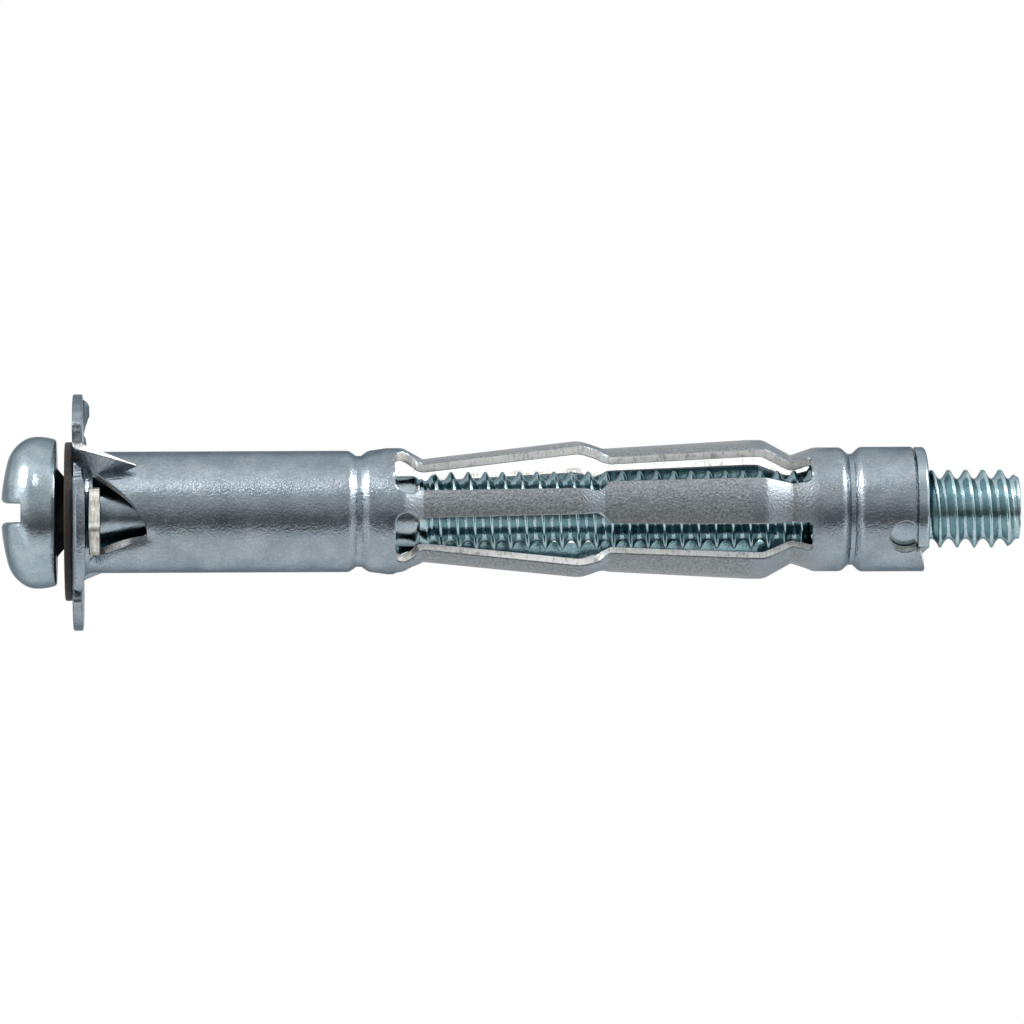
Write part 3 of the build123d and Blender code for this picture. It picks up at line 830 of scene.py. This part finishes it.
def make_sleeve():
    """Form the blank, close its seam, thicken it, and give each side its finish."""
    pressed = np.column_stack([blank_points, blank_heights])
    piece = finished("formed_sleeve", pressed, [tuple(int(i) for i in f) for f in blank_faces], zinc_sheet)
    holder = profile_curve()
    grown(piece, forming_tree(), {"Profile": holder, "Girth radius": MIDDLE_R * MM, "Material": zinc_sheet})
    bpy.data.objects.remove(holder)
    reworked(piece, close_seam)
    # the cut edges' near-white finish is partly painted light
    piece.data.materials.append(zinc_edge_painted_bright)
    piece.data.materials.append(zinc_inside_painted_shade)
    thickened(piece, SHEET)
    for vert in piece.data.vertices:
        past_flange = vert.co.yz.length / (FLANGE_R * MM)
        if past_flange > 1:
            vert.co.yz = vert.co.yz / past_flange
    # faces that look into the tube take the inside finish, whose darker tone is painted shade
    for face in piece.data.polygons:
        outwards = face.center.yz
        if outwards.length > (BARREL_R + 0.3) * MM and face.center.x < 0.5 * MM:
            face.material_index = OUTSIDE
        elif face.material_index == OUTSIDE and face.normal.yz.dot(outwards.normalized()) < -0.8:
            face.material_index = INSIDE
    return smooth(piece)


sleeve = make_sleeve()
print("sleeve:", len(sleeve.data.polygons), "faces")

# %% [markdown]
# ## Barbs
# Two fins are folded forward out of the flange and bite into the board, so that the sleeve can't
# turn. They could be cut in the blank too, but they cross the flange's bend. Each is a strip swept
# round its fold and along the barrel, thinning to a point as the shears leave it.

# %% Barbs
FOLD_R, BARB_TIP_X, BARB_TOP_R, BARB_TIP_R = 0.45, 3.3, 5.85, 4.25
BARB_HALF, BARB_TIP_HALF, BARB_EDGE = 0.3, 0.05, 0.06
BARB_FOOT_R, BARB_FOOT_X, BARB_TIP_HEIGHT = 3.45, 2.0, 0.1
BARB_TOP_X = 0.1               # its top edge falls from here to the tip
SECTION = 6                    # points round the fin's section


def barb_stations():
    """Places along the fin, each with the direction across its thickness."""
    flat_x = FOLD_R - BARB_HALF
    fold = [(flat_x - FOLD_R * math.cos(a), FOLD_R * math.sin(a) - FOLD_R, -math.cos(a), math.sin(a))
            for a in np.linspace(0, math.pi / 2, 8)]
    return fold + [(x, 0.0, 0.0, 1.0) for x in np.linspace(flat_x, BARB_TIP_X, 16)[1:]]


def sheared_edges(mesh):
    """Give the cut-edge finish to the two narrow sides between a fin's two end faces."""
    for i, face in enumerate(mesh.faces):
        face.material_index = int(i > 1 and (i - 2) % SECTION in (2, 5))


def barb(name, angle):
    """A fin folded forward out of the flange at an angle, thinning to its tip."""
    verts = []
    for x, aside, out_x, out_aside in barb_stations():
        top = np.interp(x, [BARB_TOP_X, BARB_TIP_X], [BARB_TOP_R, BARB_TIP_R])
        foot = np.interp(x, [BARB_FOOT_X, BARB_TIP_X], [BARB_FOOT_R, BARB_TIP_R - BARB_TIP_HEIGHT])
        half = np.interp(x, [FOLD_R - BARB_HALF, BARB_TIP_X], [BARB_HALF, BARB_TIP_HALF])
        cut = min(BARB_EDGE, half / 2)
        for level, out in ((foot, half), (top - cut, half), (top, half - cut), (top, cut - half),
                           (top - cut, -half), (foot, -half)):
            verts.append(turned_to(angle, x + out * out_x, level, aside + out * out_aside))
    last = len(verts) - SECTION
    faces = [tuple(range(SECTION)), tuple(range(last, last + SECTION))]
    faces += [(i + k, i + SECTION + k, i + SECTION + (k + 1) % SECTION, i + (k + 1) % SECTION)
              for i in range(0, last, SECTION) for k in range(SECTION)]
    return smooth(reworked(finished(name, verts, faces, zinc_sheet, zinc_edge_painted_bright), sheared_edges))


barbs = joined([barb(f"barb_{i}", BARB_DEG + 180 * i) for i in (0, 1)])
print("barbs:", len(barbs.data.polygons), "faces")

# %% [markdown]
# ## Tongues
# Two tongues are struck from the barrel, stand up behind the flange and close the hole in the board.
# A struck tongue is a small flat plate with a pointed top, so its outline is extruded and its cut
# corners are bevelled. Only true corners are: a bevel on the shallow ones would leave a bright seam.

# %% Tongues
TONGUE_OUTLINE = [(3.45, -2.05), (4.15, -2.05), (5.2, -1.15), (6.1, -0.3), (6.35, -0.05), (6.42, 0.2),
                  (6.35, 0.45), (6.1, 0.7), (5.2, 1.4), (4.15, 2.05), (3.45, 2.05)]   # radius, sideways
TONGUE_X, TONGUE_HALF, TONGUE_EDGE, TRUE_CORNER_DEG = 0.76, 0.35, 0.06, 60


def tongue(name, angle):
    """A plate that stands up from the barrel at an angle, square to the screw."""
    mesh = bmesh.new()
    face = mesh.faces.new([mesh.verts.new((a, b, -TONGUE_HALF)) for a, b in TONGUE_OUTLINE])
    raised = bmesh.ops.extrude_face_region(mesh, geom=[face])["geom"]
    raised = [item for item in raised if isinstance(item, bmesh.types.BMVert)]
    bmesh.ops.translate(mesh, vec=(0, 0, 2 * TONGUE_HALF), verts=raised)
    bmesh.ops.recalc_face_normals(mesh, faces=mesh.faces)
    for side in mesh.faces:
        side.material_index = 0 if abs(side.normal.z) > 0.5 else 1
    corners = [e for e in mesh.edges if e.calc_face_angle() > math.radians(TRUE_CORNER_DEG)]
    bmesh.ops.bevel(mesh, geom=corners, offset=TONGUE_EDGE, segments=3, profile=0.5, affect="EDGES")
    for vert in mesh.verts:
        radius, sideways, across = vert.co
        vert.co = Vector(turned_to(angle, TONGUE_X + across, radius, sideways)) * MM
    bmesh.ops.recalc_face_normals(mesh, faces=mesh.faces)
    piece = finished(name, [], [], zinc_sheet, zinc_struck)
    mesh.to_mesh(piece.data)
    mesh.free()
    return smooth(piece)


tongues = joined([tongue(f"tongue_{i}", WINDOW_DEG + 180 * i) for i in (0, 1)])
print("tongues:", len(tongues.data.polygons), "faces")

# %% [markdown]
# ## Screw head
# A cold-headed pan head with a sawn slot. Cutting the slot with a boolean would leave long thin
# faces that shade badly on a dome. So the top is a height over the disc, sampled along lines that
# run with the slot, and the slot's walls and its rounded mouth are exact and cleanly meshed.

# %% Screw sizes, in mm
THREAD_R, ROOT_R, SHANK_R, PITCH = 2.413, 1.86, 2.17, 25.4 / 24
HEAD_R, BEARING_X, CROWN_X = 4.75, -1.62, -5.07
CROWN_R, CROWN_EDGE = 12.0, 3.15         # the crown's own radius, and where it turns over
HEAD_SIDE = 1.24                         # height of the side above the bearing face
TOP_R = HEAD_R - 0.2                     # the sampled top ends here, short of the widest ring
SLOT_HALF, SLOT_DEPTH, SLOT_MOUTH_R, SLOT_DEG = 0.575, 1.3, 0.36, 121.0
NECK_R, NECK_LENGTH = SHANK_R + 0.605, 0.5
THREAD_START_X, SCREW_TIP_X, TIP_CHAMFER = 20.5, 57.7, 0.8
print(f"thread {2 * THREAD_R:.2f} mm over its crests, {PITCH:.3f} mm a turn")

# %% The head's outline
crown_edge_x = CROWN_X + CROWN_R - math.sqrt(CROWN_R ** 2 - CROWN_EDGE ** 2)
lean = math.asin(CROWN_EDGE / CROWN_R)
inward = np.array([math.cos(lean), -math.sin(lean)])
span = np.array([BEARING_X - HEAD_SIDE - crown_edge_x, HEAD_R - CROWN_EDGE])
SHOULDER_R = span @ span / (2 * span @ inward)
shoulder_x, shoulder_r = np.array([crown_edge_x, CROWN_EDGE]) + inward * SHOULDER_R


def head_top(radius):
    """How far along the screw the head's outside lies, at a distance from its axis."""
    if radius <= CROWN_EDGE:
        return CROWN_X + CROWN_R - math.sqrt(CROWN_R ** 2 - radius ** 2)
    return shoulder_x - math.sqrt(max(SHOULDER_R ** 2 - (radius - shoulder_r) ** 2, 0))


def slotted_top(u, w):
    """The same with the slot cut in it, u along the slot and w across it."""
    outside = head_top(min(math.hypot(u, w), TOP_R))
    floor = max(outside, CROWN_X + SLOT_DEPTH)
    if abs(w) < SLOT_HALF - 0.01:
        return floor
    short = max(SLOT_MOUTH_R - (abs(w) - SLOT_HALF), 0)
    return min(outside + SLOT_MOUTH_R - math.sqrt(max(SLOT_MOUTH_R ** 2 - short ** 2, 0)), floor)


print(f"the head's shoulder has a radius of {SHOULDER_R:.2f} mm")

# %% The sawn top
def sawn_top():
    """Points and faces of the head's top, and the loop of points round it."""
    half = [0, 0.2, 0.4, SLOT_HALF - 0.04, SLOT_HALF - 0.012]
    half += [SLOT_HALF + SLOT_MOUTH_R * (1 - math.cos(a)) for a in np.linspace(0, math.pi / 2, 7)]
    half += [TOP_R * math.sin(a) for a in np.linspace(math.asin(2 * SLOT_HALF / TOP_R), math.pi / 2, 26)]
    along_line = np.sin(np.radians(np.linspace(-90, 90, 73)))
    verts, rows = [], []
    for w in [-w for w in half[:0:-1]] + half:
        reach = math.sqrt(max(TOP_R ** 2 - w ** 2, 0))
        row = [(u * reach, w) for u in (along_line if reach > 1e-6 else [0.0])]
        rows.append(range(len(verts), len(verts) + len(row)))
        verts += [(slotted_top(u, w), u, w) for u, w in row]
    faces = []
    for near, far in zip(rows, rows[1:]):
        for i in range(max(len(near), len(far)) - 1):
            at_near = (near[min(i, len(near) - 1)], near[min(i + 1, len(near) - 1)])
            at_far = (far[min(i + 1, len(far) - 1)], far[min(i, len(far) - 1)])
            faces.append(tuple(dict.fromkeys(at_near + at_far)))
    loop = [rows[0][0]] + [row[-1] for row in rows[1:-1]] + [rows[-1][0]]
    return verts, faces, loop + [row[0] for row in rows[-2:0:-1]]


# %% The head's side and the shank
def side_and_shank():
    """The outline (x, radius) from the top's edge over the widest ring, to the shank's far end."""
    start = np.array([head_top(TOP_R), TOP_R])
    end = np.array([BEARING_X - 0.35, HEAD_R - 0.15])
    tangent = np.array([TOP_R - shoulder_r, shoulder_x - start[0]])
    crest = start + tangent * (HEAD_R + 0.06 - TOP_R) / tangent[1]
    widest = [tuple((1 - t) ** 2 * start + 2 * t * (1 - t) * crest + t * t * end)
              for t in np.linspace(0, 1, 12)[1:-1]]
    below = rounded([(*end, 0), (BEARING_X, HEAD_R - 0.25, 0.22), (BEARING_X, NECK_R, 0.12),
                     (BEARING_X + NECK_LENGTH, SHANK_R, 0.1), (THREAD_START_X, SHANK_R, 0.3),
                     (THREAD_START_X + 0.5, 1.7, 0)], longest=1.5)
    return widest + below.tolist()


def neck_painted_as_shade(mesh):
    """Paint the neck under the head, and the shank as far as the flange, near-black as shade."""
    for face in mesh.faces:
        middle = face.calc_center_median() / MM
        face.material_index = int(BEARING_X < middle.x < 0 and middle.yz.length < NECK_R + 0.095)


def make_head():
    """The sawn top, and rings below it as far as the thread."""
    verts, faces, loop = sawn_top()
    turn = [math.atan2(verts[i][2], verts[i][1]) for i in loop]
    for x, r in side_and_shank():
        ring = range(len(verts), len(verts) + len(loop))
        verts += [(x, r * math.cos(a), r * math.sin(a)) for a in turn]
        faces += [(loop[i - 1], ring[i - 1], ring[i], loop[i]) for i in range(len(ring))]
        loop = list(ring)
    faces.append(tuple(loop))
    placed = [turned_to(SLOT_DEG, x, u, w) for x, u, w in verts]
    piece = finished("screw_head", placed, faces, zinc_screw, painted_neck_shade)
    return smooth(reworked(piece, neck_painted_as_shade), 40)


head = make_head()
print(f"head and shank: {len(head.data.polygons)} faces")

# %% [markdown]
# ## Rolled thread
# The thread is rolled between dies, 24 turns to the inch, with a narrow crest and a round root. A
# Screw modifier would leave its ends open. A thread is one profile that follows a helix, so it is a
# sheared grid: along the grid runs the angle, across it one pitch, and the far side of each turn is
# the near side of the next. Past its two ends the grid closes to a disc.

# %% The thread tree
THREAD_FACETS, PROFILE_STEPS = 64, 16
THREAD_TURNS = math.ceil((SCREW_TIP_X - THREAD_START_X) / PITCH) + 3
CREST_FLAT, TIP_SLOPE, RUN_IN_SLOPE = 0.1, 0.6, -0.35
THREAD_INPUTS = {"Pitch": PITCH * MM, "Crest radius": THREAD_R * MM, "Root radius": ROOT_R * MM,
                 "Start": THREAD_START_X * MM, "End": SCREW_TIP_X * MM, "Chamfer": TIP_CHAMFER * MM,
                 "Turns": THREAD_TURNS, "Facets": THREAD_FACETS}


def ridge_radius(tree, get, across):
    """Radius over one pitch: a flat crest, flanks that start at sixty degrees, and a round root."""
    off_middle = add(tree, MATH, SIZE, add(tree, MATH, MINUS, across, 0.5))
    from_crest = add(tree, MATH, MINUS, add(tree, MATH, TIMES, off_middle, 2.0), CREST_FLAT)
    flank = add(tree, MATH, OVER | {"use_clamp": True}, from_crest, 1 - CREST_FLAT)
    flank = add(tree, MATH, SINE, add(tree, MATH, TIMES, flank, math.pi / 2))
    depth = add(tree, MATH, MINUS, get["Crest radius"], get["Root radius"])
    sunk = add(tree, MATH, TIMES, flank, depth)
    return add(tree, MATH, MINUS, get["Crest radius"], sunk)


def shrinking(tree, get, full_radius, past):
    """A radius that shrinks to nothing over one pitch, to close an end with a disc."""
    share = add(tree, MATH, OVER, past, get["Pitch"])
    left = add(tree, MATH, MINUS | {"use_clamp": True}, 1.0, share)
    return add(tree, MATH, TIMES, full_radius, left)


def ended_radius(tree, get, x, ridge):
    """The ridge's radius with the chamfered tip, the run-in behind the shank, and both discs."""
    past_end = add(tree, MATH, MINUS, x, get["End"])
    on_chamfer = add(tree, MATH, TIMES, add(tree, MATH, PLUS, past_end, get["Chamfer"]), TIP_SLOPE)
    chamfer = add(tree, MATH, MINUS, get["Crest radius"], on_chamfer)
    chamfer_depth = add(tree, MATH, TIMES, get["Chamfer"], TIP_SLOPE)
    tip_r = add(tree, MATH, MINUS, get["Crest radius"], chamfer_depth)
    chamfer = add(tree, MATH, LARGER, chamfer, tip_r)
    before = add(tree, MATH, MINUS, get["Start"], x)
    run_in = add(tree, MATH, TIMES_PLUS, before, RUN_IN_SLOPE, get["Root radius"])
    run_in = add(tree, MATH, LARGER, run_in, get["Root radius"])
    radius = add(tree, MATH, SMALLER, add(tree, MATH, SMALLER, ridge, chamfer), run_in)
    tip_disc = add(tree, MATH, SMALLER, shrinking(tree, get, tip_r, past_end), radius)
    start_disc = shrinking(tree, get, get["Root radius"], before)
    is_past = add(tree, MATH, PAST, past_end, 0.0)
    is_before = add(tree, MATH, PAST, before, 0.0)
    radius = add(tree, "ShaderNodeMix", i0=is_past, i2=radius, i3=tip_disc)
    return add(tree, "ShaderNodeMix", i0=is_before, i2=radius, i3=start_disc)


def thread_tree():
    """Grid in, closed threaded rod out."""
    tree, get = new_tree("rolled_thread", [
        (name, "NodeSocketInt" if isinstance(value, int) else "NodeSocketFloat", value)
        for name, value in THREAD_INPUTS.items()] + [("Material", "NodeSocketMaterial", None)])
    rows = add(tree, MATH, TIMES_PLUS, get["Turns"], get["Facets"], 1.0)
    grid = add(tree, "GeometryNodeMeshGrid", Size_X=1.0, Size_Y=1.0, Vertices_X=rows,
               Vertices_Y=PROFILE_STEPS + 1)
    on_grid = add(tree, "ShaderNodeSeparateXYZ", Vector=add(tree, "GeometryNodeInputPosition")).outputs
    turns = add(tree, MATH, PLUS, on_grid["X"], 0.5)
    turns = add(tree, MATH, TIMES, turns, get["Turns"])
    across = add(tree, MATH, PLUS, on_grid["Y"], 0.5)
    pitches = add(tree, MATH, PLUS, turns, across)
    pitches = add(tree, MATH, MINUS, pitches, 2.0)
    x = add(tree, MATH, TIMES_PLUS, pitches, get["Pitch"], get["Start"])
    radius = ended_radius(tree, get, x, ridge_radius(tree, get, across))
    x = add(tree, MATH, SMALLER, x, get["End"])
    x = add(tree, MATH, LARGER, x, get["Start"])
    angle = add(tree, MATH, TIMES_PLUS, turns, 2 * math.pi, math.pi)
    rolled = set_round(tree, grid, x, radius, angle)
    closed = add(tree, "GeometryNodeMergeByDistance", Geometry=rolled, Distance=0.002 * MM)
    finish_tree(tree, closed, get["Material"])
    return tree


# %% The thread
def close_ends(mesh):
    """Clean what closed up at the thread's two ends."""
    bmesh.ops.dissolve_degenerate(mesh, dist=0.001 * MM, edges=mesh.edges)
    print("thread's open edges:", sum(1 for edge in mesh.edges if not edge.is_manifold))


thread = finished("screw_thread", [], [], zinc_thread)
grown(thread, thread_tree(), THREAD_INPUTS | {"Material": zinc_thread})
smooth(reworked(thread, close_ends), 50)
print("thread:", len(thread.data.polygons), "faces")

# %% [markdown]
# ## Fibre washer
# A thin punched ring that holds the screw in the sleeve until it is used. It hangs on the shank, so
# its middle lies below the screw's. It is a stack of rings, as is every turned shape: a lathe in
# Blender would do as well, but rings can also differ round the circle, which the nut needs.

# %% Ringed solids
def ringed(name, rings, material, turns=144):
    """A closed ring-shaped solid: each ring is a function of the angle that gives (x, radius)."""
    verts = []
    for ring in rings:
        for i in range(turns):
            angle = 360 * i / turns
            x, radius = ring(angle)
            verts.append(turned_to(angle, x, radius, 0))
    faces = []
    for k in range(len(rings)):
        this, following = k * turns, (k + 1) % len(rings) * turns
        faces += [(this + i, this + (i + 1) % turns, following + (i + 1) % turns, following + i)
                  for i in range(turns)]
    piece = finished(name, verts, faces, material)
    return smooth(reworked(piece, merged), 40)


def circle(x, r):
    """A ring that is the same all round."""
    return lambda angle: (x, r)


# %% The washer
WASHER_R, WASHER_HOLE_R, WASHER_THICK, WASHER_X = 4.9, 2.75, 0.49, -1.11
WASHER_EDGE_R = 0.12
WASHER_DROP, WASHER_HANG_DEG = 0.55, 211.0


def make_washer():
    """A ring with rounded outer edges, hung on the shank."""
    far_x = WASHER_X + WASHER_THICK
    outline = rounded([(WASHER_X, WASHER_HOLE_R, 0), (WASHER_X, WASHER_R, WASHER_EDGE_R),
                       (far_x, WASHER_R, WASHER_EDGE_R), (far_x, WASHER_HOLE_R, 0)], step_deg=20, longest=5)
    piece = ringed("fibre_ring", [circle(x, r) for x, r in outline], fibre)
    _, y, z = turned_to(WASHER_HANG_DEG, 0, WASHER_DROP, 0)
    piece.data.transform(Matrix.Translation(Vector((0, y, z)) * MM))
    return piece


washer = make_washer()
print("washer:", len(washer.data.polygons), "faces")

# %% [markdown]
# ## Nut
# The nut sits in the sleeve's end. The second groove is rolled into its waist, its collar closes the
# end, and its side is flat under the sleeve's tab, so that it can't turn. Its rings are circles with
# that flat cut off, which is simpler than cutting a turned nut afterwards.

# %% The nut
NUT_BORE_R, NUT_COLLAR_R, NUT_FLAT = 2.453, 3.83, 2.603
NUT_SEAT = 0.02                # between the nut and the sheet round it
NUT_START_X, NUT_MOUTH_X = GROOVE_2_X - 1.1, SLEEVE_END_X + 0.85
NUT_FLAT_START_X, COLLAR_START_X = SLEEVE_END_X - 0.7, SLEEVE_END_X + 0.12


def flatted(x, radius):
    """A ring cut flat under the tab."""
    def ring(angle):
        """The ring's (x, radius) at an angle."""
        towards = math.cos(math.radians(angle - TAB_DEG))
        return (x, min(radius, NUT_FLAT / towards) if towards > 0.5 else radius)
    return ring


def make_nut():
    """Rings from the bore's inner end, over the waist and the collar, back to the bore."""
    body_r = BARREL_R + END_RISE - SHEET - NUT_SEAT
    waist_r = BARREL_R - GROOVE_DEPTH - SHEET - NUT_SEAT
    rim_x = NUT_MOUTH_X - 0.05
    return ringed("crimped_nut", [
        circle(NUT_START_X, NUT_BORE_R), circle(NUT_START_X, waist_r), circle(GROOVE_2_X + 0.4, waist_r),
        circle(GROOVE_2_X + 1.0, body_r), circle(NUT_FLAT_START_X - 0.01, body_r),
        flatted(NUT_FLAT_START_X, body_r), flatted(COLLAR_START_X, body_r),
        flatted(COLLAR_START_X, NUT_COLLAR_R - 0.04), flatted(COLLAR_START_X + 0.04, NUT_COLLAR_R),
        flatted(rim_x - 0.2, NUT_COLLAR_R), flatted(rim_x - 0.12, NUT_COLLAR_R - 0.03),
        flatted(rim_x - 0.04, NUT_COLLAR_R - 0.11), flatted(rim_x, NUT_COLLAR_R - 0.2),
        circle(NUT_MOUTH_X, NUT_BORE_R + 0.1), circle(NUT_MOUTH_X - 0.1, NUT_BORE_R)], zinc_screw)


nut = make_nut()
print("nut:", len(nut.data.polygons), "faces")

# %% [markdown]
# ## Light table
# The anchor lies on opal glass lit from below, so that it has no shadow. A white floor lit from above
# would show one. The glass gives light and mirrors none.

# %% Light table
FLOOR_REACH = 3.0              # metres each way
FLOOR_Z = solid_box[0].z

floor_mesh = bpy.data.meshes.new("light_table")
floor_corners = [(x * FLOOR_REACH, y * FLOOR_REACH, FLOOR_Z)
                 for x, y in ((-1, -1), (1, -1), (1, 1), (-1, 1))]
floor_mesh.from_pydata(floor_corners, [], [(0, 1, 2, 3)])
floor = bpy.data.objects.new("light_table", floor_mesh)
bpy.context.collection.objects.link(floor)
opal, _, opal_shader = new_material("opal_glass_lit_from_below")
feed(opal_shader, Base_Color=linear("#000000"), Roughness=1.0, Specular_IOR_Level=0.0,
     Emission_Color=linear("#ffffff"), Emission_Strength=1.0)
floor_mesh.materials.append(opal)
print(f"light table at z = {FLOOR_Z / MM:.2f} mm")

# %% [markdown]
# ## Softboxes
# Polished metal shows its lights as shapes. Three small softboxes, at the upper left, upper right and
# just above the head, put the sparks on the head, the creases and the cut edges.

# %% Softboxes
def softbox(name, place, size, radiance):
    """A rectangular area light in metres, aimed at the origin, with the brightness of its face."""
    data = bpy.data.lights.new(name, "AREA")
    data.shape = "RECTANGLE"
    data.size = size[0]
    data.size_y = size[1]
    data.energy = radiance * math.pi * size[0] * size[1]
    light = bpy.data.objects.new(name, data)
    light.location = place
    light.rotation_mode = "QUATERNION"
    light.rotation_quaternion = (-Vector(place)).to_track_quat("-Z", "Y")
    bpy.context.collection.objects.link(light)
    return light


softboxes = [softbox("upper_left", (-0.40, 0.25, 0.27), (0.16, 0.22), 11.0),
             softbox("upper_right", (0.45, 0.27, 0.25), (0.15, 0.24), 12.0),
             softbox("upper_middle", (-0.045, 0.14, 0.38), (0.045, 0.06), 10.0)]
print("softboxes:", [f"{light.name} {light.data.energy:.2f} W" for light in softboxes])

# %% [markdown]
# ## The room
# A cylinder of bright metal is a mirror of the room round it, and its bands of light and dark are
# the ceiling, the dark behind the lens and the walls. Such a room could be built from panels, but the
# bands only change with the direction round the screw's axis. So that direction is worked out, and a
# colour ramp says how bright the room is there.

# %% The room
# degrees from +Y towards +Z, brightness
ROOM = [(0, 0.92), (27, 1.02), (40, 1.25), (52, 1.4), (66, 1.0), (82, 0.8), (105, 0.66), (116, 0.42),
        (128, 0.25), (139, 0.12), (152, 0.12), (157, 0.8), (175, 0.95), (180, 1.0), (350, 0.78)]
BRIGHTEST = 1.6
END_WALLS = 1.6                # the walls past the screw's two ends are brighter by this much
END_WALLS_FROM, END_WALLS_FULL = 0.35, 0.8


def room_light():
    """World light that changes with the direction round the screw's axis."""
    world = bpy.data.worlds.new("studio")
    world.use_nodes = True
    tree = world.node_tree
    direction = add(tree, "ShaderNodeTexCoord").outputs["Generated"]
    way = add(tree, "ShaderNodeSeparateXYZ", Vector=direction).outputs
    angle = add(tree, MATH, {"operation": "ARCTAN2"}, way["Z"], way["Y"])
    turn = add(tree, MATH, OVER, angle, 2 * math.pi)
    turn = add(tree, MATH, {"operation": "FRACT"}, turn)
    stops = [(degrees / 360, brightness / BRIGHTEST) for degrees, brightness in ROOM]
    bands = add(tree, "ShaderNodeValToRGB", {"stops": stops}, turn)
    strength = add(tree, "ShaderNodeMapRange", {"interpolation_type": "SMOOTHSTEP"},
                   add(tree, MATH, SIZE, way["X"]), END_WALLS_FROM, END_WALLS_FULL,
                   BRIGHTEST, BRIGHTEST * END_WALLS)
    feed(tree.nodes["Background"], Color=bands, Strength=strength)
    return world


bpy.context.scene.world = room_light()
bpy.context.scene.view_settings.view_transform = "Standard"
print("the room has", len(ROOM), "bands")

# %% [markdown]
# ## What rides on what
# The screw turns and travels, the washer travels with it, and all that is sheet stays with the nut.
# Each piece is tied to its moving body and takes the place of the plain solid that it was made from.

# %% Tie every piece to its body
RIDERS = (
    (sleeve, "sleeve_and_nut", "plated_sheet", "sleeve"),
    (barbs, "sleeve_and_nut", "plated_sheet", "sleeve"),
    (tongues, "sleeve_and_nut", "plated_sheet", "sleeve"),
    (nut, "sleeve_and_nut", "plated_nut", "nut"),
    (head, "screw", "plated_screw", "screw"),
    (thread, "screw", "plated_screw", "screw"),
    (washer, "washer", "fibre", "fibre_washer"))
for piece, body, slot, solid in RIDERS:
    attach(piece, body)
    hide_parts(solid)
print("tied:", {piece.name: body for piece, body, _, _ in RIDERS})

# %% Sizes
print("solid box", [[round(v / MM, 2) for v in c] for c in solid_box])
